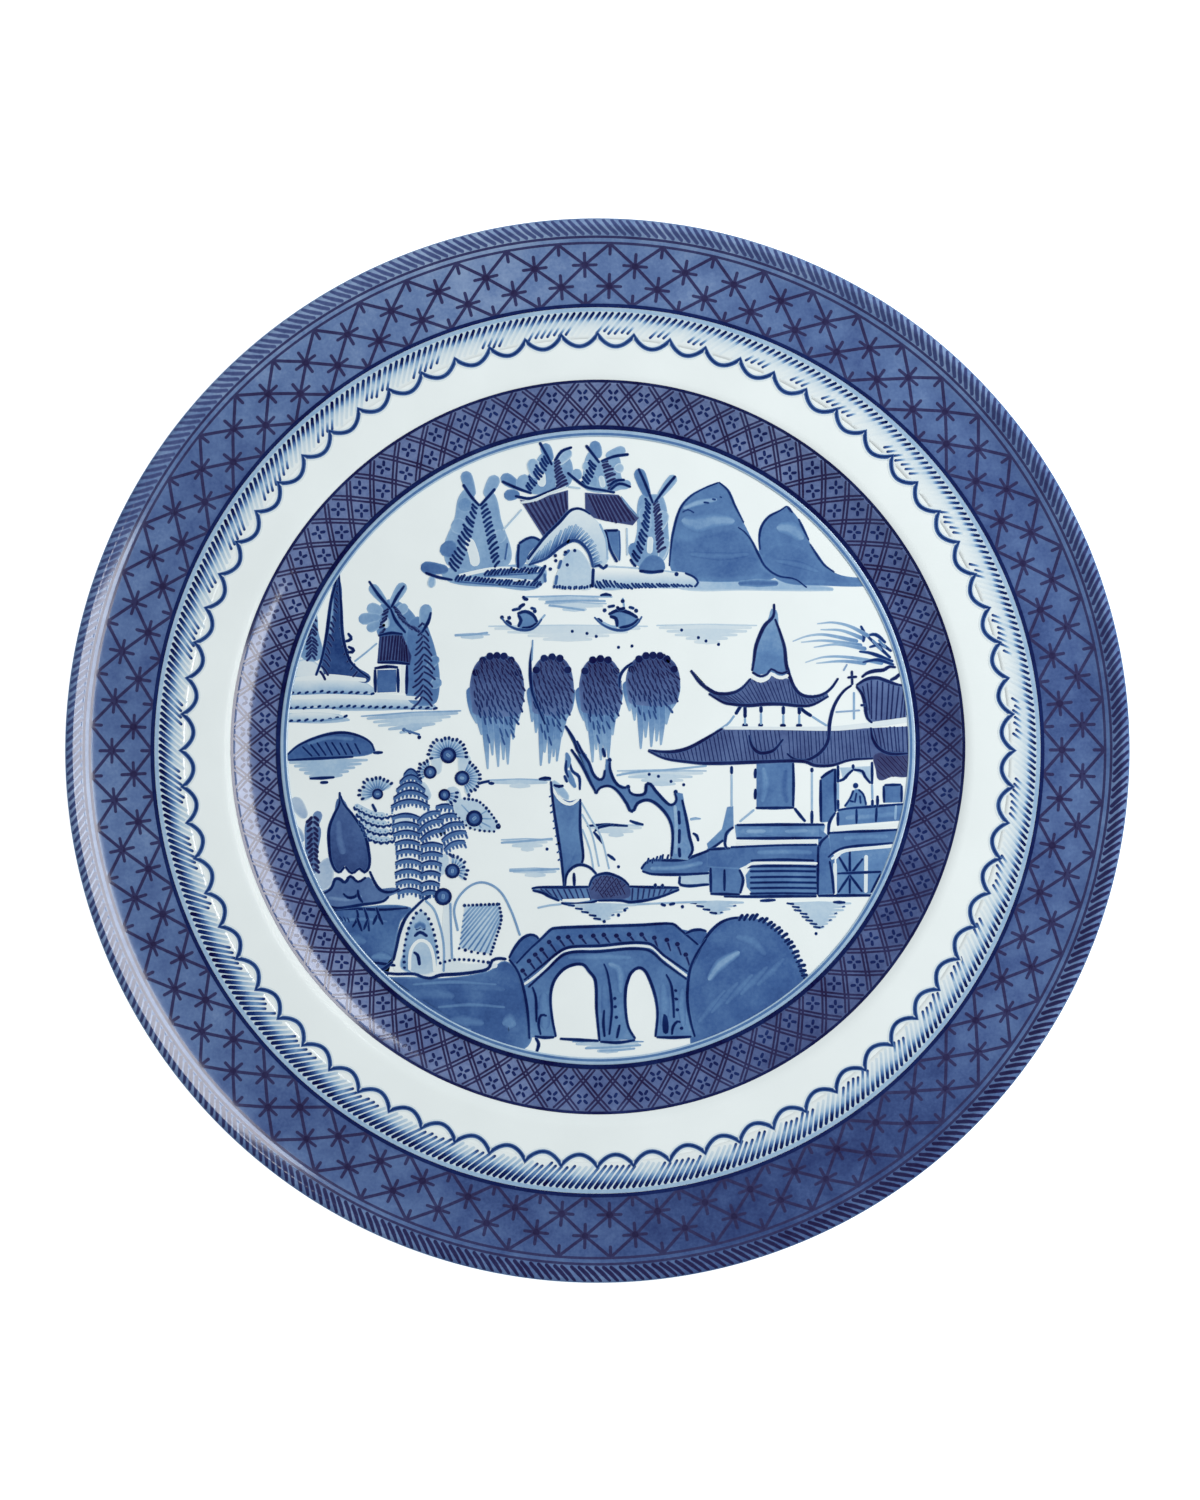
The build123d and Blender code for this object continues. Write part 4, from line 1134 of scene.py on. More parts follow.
def teahouse_roofs(ink):
    ink.warm = 0.0
    ink.wash([(42, 33.5), (40.4, 30.4), (38.6, 27.2), (37.6, 24), (37, 18.2), (41, 18), (45.6, 17.6),
              (45, 21), (44.4, 25), (43.2, 29)], lambda x, y: 0.55 + 0.05 * np.clip((22 - y) / 6, -1, 1),
             0.3)
    ink.warm = 0.6
    ink.wash([(22.3, 18.6), (24.4, 15.8), (27, 13.8), (30, 13), (33, 13.6), (36.6, 16.6), (39, 15.8),
              (41.3, 17.4), (44, 16.8), (45.8, 16.6), (48.4, 12.9), (51, 12.4), (54.6, 13.4), (54.6, 12.2),
              (51, 10.7), (44, 10.8), (36, 10.5), (32, 10.8), (28, 12.2)], 0.68, 0.3)
    ink.wash([(12, -0.3), (16, -0.8), (19, -0.5), (22, 0.3), (26, 2.5), (29.8, 4.7), (40, 4.7), (55, 4.6),
              (65, 5), (74, 5.4), (74, -1.4), (65, -2.3), (60, -2.6), (56, -3.6), (53, -4), (50.6, -3.6),
              (46, -2.8), (40, -3), (26, -3.4), (21, -3), (16, -2.2)], 0.66, 0.25, straight=True)
    ink.wash([(61.6, 15.2), (64, 16.6), (67, 17), (70, 16), (73, 15), (73.5, 7.2), (69, 6.4), (65.3, 6),
              (64.2, 7.4), (63.7, 10.5), (63, 13)], 0.62, 0.3, straight=True)
    ink.layer += 1
    ink.warm = 0.45
    ink.hatch([(23.6, 16.4), (27, 13.8), (30, 13.1), (33, 13.7), (36.4, 16.4), (40, 16.2), (45.6, 16.4),
               (48.6, 12.9), (54, 13)], [(28, 12.2), (32, 10.9), (36, 10.6), (44, 10.9), (50, 10.5),
              (54.4, 12)], 34, 0.40, 0.88, 0.08)
    ink.hatch([(13, -0.4), (19, -0.6), (22, 0.2), (26, 2.4), (29.6, 4.4), (36, 4.5), (43.6, 4.5)],
              [(14, -1.6), (18, -2.6), (23, -3.2), (28, -3.3), (33, -3.2), (40, -2.9), (44.6, -2.7)], 32,
              0.42, 0.88, 0.08)
    ink.hatch([(45, 4.4), (55, 4.4), (64.6, 4.6)], [(45.4, -2.6), (54, -3.6), (65.4, -2.2)], 22, 0.42, 0.86,
              0.08)
    ink.hatch([(62.4, 14.6), (65, 16.6), (69.6, 16), (73, 14.2), (73.6, 11)],
              [(64.2, 9.6), (65.4, 7), (69.6, 6.8), (73.6, 7.6), (73.8, 8.4)], 11, 0.5, 0.90, 0.08)
    ink.hatch([(65.2, 4.9), (70, 5.4), (74, 5.4)], [(66.4, 0.6), (69.6, -0.8), (74.2, -1)], 9, 0.5, 0.88,
              0.08)
    ink.warm = 0.8
    ink.wash([(66, -1.2), (74.3, -1.3), (74.2, -6.2), (70, -6.6), (67, -7.4), (66.2, -5)], 0.80, 0.3)
    ink.layer += 1
    ink.hatch([(66.4, -5.6), (66.6, -1.8), (73, -1.6)], [(68, -7), (73, -6.2), (74, -3)], 8, 0.42, 0.96)
    ink.warm = 0.2
    ink.lines([(42, 34.6), (41.8, 31.6), (39.8, 29.4), (38.4, 26.5), (37.6, 24), (37.2, 21), (36.8, 18.5)],
              [(42.2, 31), (43.5, 27.5), (44.5, 24), (44.9, 20), (45.8, 17), (46.9, 14.5), (48.5, 12.9),
               (51, 12.4), (53.6, 13), (55.6, 14.5), (57.3, 16.9)],
              [(22.2, 18.8), (24, 16.2), (26, 14.5), (28.5, 13.2), (32, 13.3), (34.4, 14.5), (36.5, 16.8)],
              [(26.4, 13.2), (30, 11.1), (32, 10.7), (36, 10.4), (40, 10.7), (44, 10.7), (48, 10.3),
               (51, 10.5), (55, 12.6)], [(12, -0.3), (16, -0.7), (19, -0.5), (22, 0.4), (26, 2.6),
              (29.8, 4.9)], [(12, -0.4), (16, -2.2), (21, -3), (26, -3.4), (40, -3), (46, -2.8), (49.5, -3),
              (51.4, -3.8), (53.4, -4), (56, -3.8), (60, -2.6), (65.6, -2.2)],
              [(36, 3.4), (36.8, 0.6), (38.3, -0.8), (40, -0.9), (42, -0.2), (44.2, 2.4)],
              [(45, -1), (46.5, -2.2), (48.5, -2.7), (50.5, -2.4), (53, -0.8), (54.5, 1.2), (55, 3),
               (55.2, 6), (56, 9.5), (57.2, 12), (58.8, 14), (60.5, 15.2)],
              [(61.5, 15), (63, 13), (63.7, 10.5), (63.8, 9), (64.3, 7.2), (65.4, 6.2)],
              [(61.5, 15.1), (64, 16.6), (66.5, 16.9), (68.5, 16.3), (71, 15.4), (73, 15)],
              [(65, 5.2), (65.4, 2.6), (66.8, 0.3), (68.8, -0.9), (71, -1.2), (74.4, -1)],
              [(62.8, 17), (64, 18), (66, 18.6), (68, 18.8), (69.5, 19.6), (71, 19.4)],
              [(72, 18), (71, 17), (69.6, 16.4)], width=(0.55, 0.9, 0.85, 0.55), density=0.94)
    ink.lines([(58.5, 18.6), (59.4, 20.2)], [(56.6, 8.8), (62.5, 9.2)], width=0.4, density=0.42)
    ink.lines([(60.5, 18.7), (60.6, 15.2)], [(59.4, 17), (61.8, 17.2)], [(62.5, 10.4), (63.9, 10.5)],
              width=0.6, density=0.92)
    ink.line([(36.8, 17.1), (38.8, 16.2), (40.5, 16.9), (41.3, 17.9), (42.6, 17.2), (44, 17), (45.4, 17.6)],
             0.75, RESIST)
    ink.line([(36.8, 18.3), (38.8, 17.3), (40.4, 17.9), (41.3, 19), (42.7, 18.3), (44, 18), (45.4, 18.6)],
             0.6, 0.94)
    ink.line([(30, 5), (36, 5), (45, 4.9), (56, 4.9), (61, 5.3), (66, 5.9), (74, 7)], (0.7, 0.7, 1.1, 1.2),
             0.08)


def teahouse_hall(ink):
    """The big hall's walls, window, posts and the terrace wall it stands on."""
    ink.warm = 0.0
    ink.wash([(37.8, -3.5), (46.3, -3.2), (46.3, -13.8), (37.8, -13.9)], 0.62, 0.3, straight=True)
    ink.wash([(53.2, -7), (54.5, -6), (56.3, -4.8), (56.4, -15), (55.6, -17.2), (53.3, -17.5)], 0.63, 0.3,
             straight=True)
    ink.wash([(30.8, -13.8), (32.3, -13.5), (32.4, -18.5), (30.4, -21.4), (26.4, -24.4), (26, -22.5),
              (29.6, -19)], 0.55, 0.3, straight=True)
    ink.wash([(32.6, -18), (54.2, -18), (53.6, -21.2), (33, -21.2)],
             lambda x, y: 0.60 + 0.06 * np.sin(0.9 * x), 0.3, straight=True)
    ink.wash([(26, -23.7), (32, -23.4), (52.4, -22.8), (52.4, -27.6), (36, -27.4), (33.8, -28.4),
              (26, -28)], 0.65, 0.3, straight=True)
    ink.wash([(36.8, -34.4), (35.5, -32.8), (35.2, -30), (36.3, -28.4), (38, -27.8), (52.4, -28),
              (52.4, -34.4)], 0.58, 0.3, straight=True)
    ink.wash([(52.5, -18.6), (54.9, -20.6), (56.4, -26), (56.4, -34.4), (52.5, -34.6)], 0.63, 0.3,
             straight=True)
    ink.wash([(26.8, -28), (33.8, -28.4), (34.4, -31.4), (33.8, -34.4), (27, -34.2)], 0.62, 0.3,
             straight=True)
    ink.layer += 1
    ink.brush([(39.4, -4.4), (40, -8), (39.2, -12.6)], (1.2, 2.2, 1.4), 0.54, 0.62)
    ink.brush([(44.8, -5), (44.4, -9), (45, -12.8)], (1.0, 2.0, 1.4), 0.70, 0.63)
    ink.lines([(34.3, 10.6), (33.4, 9.2), (32.8, 8.2)], [(47.8, 10.2), (49.4, 8.8), (51, 7.8)],
              [(35.1, 10.2), (35.1, 7.4)], [(38.9, 10.2), (38.9, 8.6)], [(44.2, 10.2), (44.2, 8.2)],
              [(48, 10.2), (48, 8.2)], [(34.4, 5.7), (35.8, 5.7)], [(38.2, 5.7), (39.4, 5.7)],
              [(43.4, 5.6), (44.8, 5.6)], [(47.2, 5.6), (48.7, 5.6)], width=0.8, density=0.93)
    ink.lines([(35.1, 7.4), (35.1, 5.8)], [(38.9, 8.6), (38.9, 5.8)], [(44.2, 8.2), (44.2, 5.8)],
              [(48, 8.2), (48, 5.8)], [(32.6, 8), (31, 6), (28, 4)], [(51, 7.8), (53, 6.5), (55, 5.3)],
              width=0.5, density=0.42)
    ink.lines([(46.5, -3.2), (46.6, -8), (46.5, -13.9)], [(37.6, -14), (42, -14), (46.8, -13.9)],
              [(37.6, -4.6), (37.5, -7)], [(37.6, -9.4), (37.5, -12)], [(31.9, -4), (31.9, -6)],
              [(46.8, -14), (48.2, -15.8), (49.5, -17.3)], [(51, -14.6), (51, -17.8)],
              [(51, -4.4), (51, -5.6)], [(53.1, -7), (54.5, -5.9), (56.4, -4.8)],
              [(56.5, -4.6), (56.5, -10), (56.6, -15)], [(53.1, -7.2), (53.1, -12), (53.2, -17.4)],
              [(56.6, -15), (55.2, -17.4), (54.9, -20.5)], [(54.9, -20.5), (53, -22.4), (52.5, -25)],
              [(52.5, -23), (52.4, -29), (52.4, -34.7)],
              [(32.4, -18.5), (30.8, -19.8), (30.4, -21.4), (30.4, -23), (31, -23.8)],
              [(33, -18.1), (44, -18), (54, -18)], [(33, -21.2), (44, -21.2), (53.4, -21.1)],
              [(36.4, -26.5), (44, -26.3), (51.6, -26.5)],
              [(35.2, -28.1), (37.6, -27.9), (45, -27.8), (52.3, -28)],
              [(55.2, -26.6), (55.8, -30), (56.2, -34.5)], [(26.9, -28.2), (27, -34.2)],
              [(33.7, -28.6), (34.6, -31), (33.9, -34.4)], [(26.8, -34.4), (33.9, -34.6)],
              [(30.2, -28.6), (30.2, -33.8)], [(26.4, -23.9), (31.6, -23.6)], width=(0.6, 0.8, 0.6),
              density=0.92)
    for y in (-29.1, -30.5, -31.8, -33.1, -34.4):
        ink.line([(36.2, y), (44, y + 0.1), (52.2, y)], 0.65, 0.9)
    ink.lines([(31.9, -6), (31.9, -13.8)], [(51, -5.6), (51, -14.6)], [(37.3, -14.4), (33.8, -17.3)],
              width=0.5, density=0.36)
    ink.line([(35, -28.4), (36.5, -27.3), (38, -27.1), (45, -27.1), (52.3, -27.2)], 0.55, RESIST)
    ink.line([(33, -22.3), (44, -22), (52.3, -21.9)], 0.75, RESIST)
    ink.brush([(35.4, -19.6), (40, -19.5)], 1.5, 0.46, 0.60)
    ink.brush([(44.6, -19.6), (50, -19.4)], 1.5, 0.48, 0.60)
    ink.brush([(38, -24.6), (46, -24.4), (51, -24.6)], 1.4, 0.56, 0.65)
    ink.brush([(58.6, -21.2), (64, -20.8), (69, -20.8)], 1.4, 0.54, 0.62)
    ink.brush([(59, -16.4), (65, -16), (71, -15.4)], 1.5, 0.53, 0.60)
    ink.line([(31.6, -23.4), (36, -23.2), (44, -22.9), (52.3, -22.8)], 0.6, 0.9)


def teahouse_pavilion(ink):
    """The open pavilion on the right, its steps and the round window below."""
    ink.warm = 0.0
    ink.wash([(57.6, -4.4), (65, -4), (65, -8), (63.4, -6.4), (60.6, -4.9), (58.4, -7.2)], 0.30, 0.3,
             straight=True)
    ink.wash([(68.2, -8.7), (72.2, -8.6), (72.3, -12.7), (68.2, -12.8)], 0.64, 0.25, straight=True)
    ink.wash([(57.2, -14.6), (64, -13.9), (73, -13.2), (72.4, -17), (57.3, -18.2)], 0.60, 0.3,
             straight=True)
    ink.wash([(55, -20), (60, -19.7), (71.5, -19.2), (70.4, -22.2), (62, -22.9), (58.5, -23.3),
              (55.4, -24.9)], 0.62, 0.3, straight=True)
    ink.wash([(56.6, -34.6), (56.8, -26.2), (58.5, -24.5), (62, -24), (70, -23.4), (67.6, -29.6),
              (65, -34.4)], 0.55, 0.3, straight=True)
    ink.layer += 1
    ink.lines([(57, -7.7), (58.5, -7.2), (59.6, -6), (60.8, -4.9)],
              [(60.8, -4.9), (63, -5.3), (63.6, -6.5), (65, -8.2)], [(60.8, -3.6), (60.8, -4.8)],
              [(57.2, -3.8), (57.2, -8)], [(65.3, -3), (65.3, -8.4)], [(57.2, -12), (57.2, -14.4)],
              [(65.4, -12), (65.4, -13.7)], [(66.6, -11), (66.6, -13.7)], [(68.2, -8.6), (72.3, -8.5)],
              [(68.1, -8.7), (68.2, -12.8)], [(72.3, -8.6), (72.3, -12.7)],
              [(57, -14.6), (60, -14.1), (64, -13.8), (69, -13.4), (73, -13.1)],
              [(55, -20), (60, -19.7), (66, -19.5), (71.6, -19.2)],
              [(54.8, -25.8), (56.5, -24.4), (58.5, -23.5), (62, -23), (66, -22.7), (70.3, -22.3)],
              [(60, -24), (60, -34.4)], [(60, -30), (57.4, -25.6)], [(60, -30), (63.2, -26)],
              [(60, -30), (57.2, -34.2)], [(60, -30), (63, -34)], [(57, -29.6), (62, -29.4), (67.5, -29.2)],
              [(65, -34.2), (67.4, -29.6)], [(57.2, -18.3), (57.2, -15)], [(61.6, -14.2), (61.6, -17.8)],
              [(66.4, -13.8), (66.2, -17.4)], width=(0.55, 0.75, 0.55), density=0.91)
    ink.lines([(57.2, -8), (57.2, -12)], [(65.3, -8.4), (65.4, -12)], [(61, 13.6), (61, 7)],
              [(71, -13.4), (70.8, -16.8)], width=0.5, density=0.42)
    ink.line([(56, -19.2), (60, -18.9), (66, -18.5), (72, -17.9)], 0.8, RESIST)
    ink.line([(55.6, -26.2), (58.6, -24.4), (62, -23.9), (70, -23.2)], 0.5, 0.06)
    ink.lines([(56.5, -27), (56.5, -34.6)], [(63.9, -25.2), (63.8, -34.2)], width=0.8, density=0.08)
    # a small robed figure of no one in particular, leaning on the rail
    ink.wash([(58.8, -13.7), (60.2, -11.6), (60.8, -9.9), (62, -9.5), (63.2, -10.8), (63.9, -13.5)], 0.56,
             0.3)
    ink.lines([(58.8, -13.7), (60.2, -11.6), (60.9, -9.8)], [(62, -9.6), (63.2, -10.8), (63.9, -13.4)],
              [(61.6, -10.4), (61.2, -12.8)], [(62.4, -11), (62.6, -13)], [(59.8, -12.2), (61, -12.6)],
              width=0.55, density=0.9)
    ink.dot(61.4, -8.7, 1.25, 0.86)


def teahouse_grounds(ink):
    """Fronds over the roof, the bank below the willow and the foot of the terrace."""
    ink.warm = 0.0
    ink.wash([(10.4, -28.6), (11.5, -27), (13, -26.3), (20, -26.3), (24, -25), (26.5, -24), (28, -24),
              (27, -28.8), (20, -29.8), (13, -29.8)], 0.64, 0.3)
    ink.wash([(19.6, -30), (26.8, -29.8), (26.8, -32.2), (20, -32.4)], 0.30, 0.3, straight=True)
    ink.layer += 1
    ink.lines([(10.4, -28.6), (11.5, -27.1), (13, -26.5), (20, -26.4), (24, -25.1), (26.6, -24),
               (30, -21.6)], [(10.6, -29), (13, -29.7), (20, -29.8), (26.6, -29.5)],
              [(19.6, -30.2), (19.8, -32.3), (26.6, -32.2)], [(52.4, -34.9), (60, -34.8), (65.6, -34.8)],
              [(30, -35), (36, -35.1), (44, -35), (52.2, -35)], width=(0.6, 0.8, 0.6), density=0.91)
    ink.brush([(12.6, -28.4), (19, -28.2), (25, -27)], 1.4, 0.52, 0.64)
    ink.dabs([(12, -27.4), (15, -26.6), (17.4, -26.4)], 7, 1.4, 75, 0.5, 0.9)
    ink.lines([(52.2, 29.8), (56, 30.1), (60, 29.2), (64.6, 26.8)], [(53, 28.4), (58, 28.2), (63.4, 26.2)],
              [(46.4, 25.6), (50, 26.9), (54, 27.2), (62, 25.6)], [(48.4, 25.4), (54, 25.8), (63, 24.6)],
              [(51.4, 24.2), (57, 24.9), (64, 23.8)], [(49.4, 20.6), (54, 21.9), (60, 21.8), (68, 20.4)],
              [(52, 20.4), (58, 20.9), (64, 20.4)], width=(0.25, 0.6, 1.0), density=(0.30, 0.40, 0.56))
    ink.lines([(62.2, 23.2), (65, 22.8), (70.4, 20.8)], [(63.6, 27.4), (66.4, 24.8), (69.8, 21.6)],
              [(64.6, 24.2), (67.4, 24.8), (70, 23.2)], [(64, 27), (66.2, 27.2), (68.6, 25.2)],
              [(62.6, 29.4), (63.4, 27.4), (63.2, 25.4)], [(63, 20.6), (66.6, 21.2), (70.6, 20)],
              width=(0.5, 0.9, 0.6), density=0.84)
    ink.lines([(65.4, 26), (67.6, 23.4)], [(66.8, 26), (68.6, 24)], width=0.5, density=0.6)


def teahouse(material):
    ink = Scene()
    teahouse_grounds(ink)
    ink.layer = 1
    teahouse_hall(ink)
    ink.layer = 1
    teahouse_pavilion(ink)
    ink.layer = 3
    teahouse_roofs(ink)
    ink.piece("teahouse_strokes", "teahouse", "house_blue", material)


def sailing_boat(material):
    ink = Scene(layer=1)
    ink.wash([(-11, -8), (-10.4, -14), (-9.5, -20), (-8.6, -26), (-7.9, -33), (-7.5, -32.6), (-7.2, -30),
              (-6, -28.2), (-4, -27.6), (-3.4, -25), (-4.1, -19), (-4.1, -12), (-6.5, -12.4), (-9, -11.4)],
             lambda x, y: 0.57 + 0.13 * np.clip(1 - np.abs(x + 6.9 - 0.03 * (y + 20)) / 2.4, 0, 1), 0.4)
    ink.wash([(-15.5, -33.4), (-8, -33), (-1, -32.9), (7.6, -33), (19.6, -33.2), (14, -35.4), (8, -36.3),
              (0, -36), (-7, -36.7), (-11.5, -35)], 0.61, 0.25, straight=True)
    ink.warm = 0.6
    ink.wash([(-2.2, -32.6), (-1, -30.6), (1, -29.8), (3, -29.7), (5.2, -30.6), (7.6, -32.6), (7.4, -35.4),
              (-1.6, -35.6)], 0.74, 0.25)
    ink.layer = 2
    ink.warm = 0.3
    ink.hatch([(-14.4, -33.3), (-2, -33)], [(-12.4, -34.2), (-9.4, -35.8), (-1, -36)], 9, 0.5, 0.88)
    ink.hatch([(7.8, -32.8), (18.4, -33.1)], [(7.6, -36.2), (13, -35.6), (17.4, -34.2)], 8, 0.5, 0.88)
    ink.warm = 0.7
    ink.hatch([(-1.8, -31.8), (1, -30), (5, -30.6)], [(1, -35.4), (7, -34.6)], 7, 0.45, 0.94)
    ink.hatch([(0.4, -30.2), (3.6, -30), (7.2, -32.4)], [(-1.8, -33.4), (3.4, -35.4)], 6, 0.45, 0.94)
    ink.warm = 0.0
    ink.layer = 3
    ink.lines([(-15.7, -33.2), (-14, -32.9), (-8, -32.9), (-2, -32.8)],
              [(-15.5, -33.6), (-13, -34.2), (-11.5, -35), (-9, -36.1)],
              [(-8.7, -36.6), (-7, -36.9), (-2, -36.6), (0, -36)],
              [(-2, -32.8), (-1, -30.6), (1, -29.7), (3, -29.7), (6, -31), (7.5, -32.5)],
              [(7.4, -32.7), (13, -32.9), (19.4, -33)],
              [(0, -36), (5.5, -36), (8, -36.4), (14, -35.4), (19.5, -33.4)], [(13.8, -31.9), (13.7, -33)],
              [(15.5, -32), (15.4, -33)], [(-11.1, -7.6), (-10.4, -14), (-9.5, -20), (-8.6, -26),
              (-7.9, -32.8)], [(-4.1, -11.8), (-4.1, -19), (-3.4, -25.6), (-3.8, -27.4)],
              [(-7.7, -32.6), (-7.4, -30), (-6, -28.2), (-4, -27.5), (-1.8, -28.2), (-0.2, -29.8)],
              [(-5.6, -29.4), (-5.5, -32.6)], [(-14, -7.2), (-12.4, -6.9), (-11, -7)],
              [(-10.5, -8.5), (-9.2, -8.9), (-8, -8.7)], width=(0.55, 0.8, 0.6), density=0.93)
    ink.lines([(-8.4, -36), (-5, -36), (-1.8, -35.7)],
              [(-10.9, -9), (-9, -11.9), (-6.5, -13.1), (-4.3, -11.8)], width=(0.5, 0.8, 0.5),
              density=RESIST)
    ink.dabs([(-10.9, -11), (-9.7, -19), (-8.7, -26)], 9, 0.9, 215, 0.4, 0.8)
    ink.lines([(-7.4, -0.8), (-7.0, -2.4), (-7.2, -4.6)], [(-6.9, -5), (-6.2, -7.4), (-5.2, -9.2)],
              width=(0.6, 1.5, 0.7), density=0.56)
    ink.lines([(-7.4, -2.6), (-7.5, -5), (-6.9, -6.8)],
              [(-6.6, -3.2), (-6, -5.2), (-4.4, -6.6), (-4.2, -9.8)], [(-7.9, -6.2), (-7.2, -8)],
              width=(0.5, 0.8, 0.5), density=0.88)
    ink.wash([(-10.9, -7.6), (-9.4, -10.6), (-6.8, -12), (-8.4, -8.8)], 0.34, 0.3)
    ink.lines([(-3.9, -12.6), (-1.6, -16.6), (0.8, -20.8), (2.8, -28.6)],
              [(-3.7, -15.4), (-1.4, -20), (0.4, -28)], [(-3.6, -19), (-1.8, -24), (-0.8, -29.4)],
              width=0.38, density=0.36)
    ink.reflection(-7.3, 9.6, -37.2, 4.0)
    ink.dots((1.6, -41), (5, -39.5), (6.5, -38.3), (20.2, -37.5))
    ink.lines([(-14.3, -37.8), (-11.5, -37.2), (-8.5, -36.9)], [(8, -37), (17, -36.6), (26, -36.3)],
              width=0.45, density=0.36)
    ink.lines([(15, -36.8), (16.3, -37.3)], [(17, -37), (18.5, -36.7)], width=0.7, density=0.9)
    ink.piece("sailing_boat_strokes", "sailing_boat", "deep_blue", material)


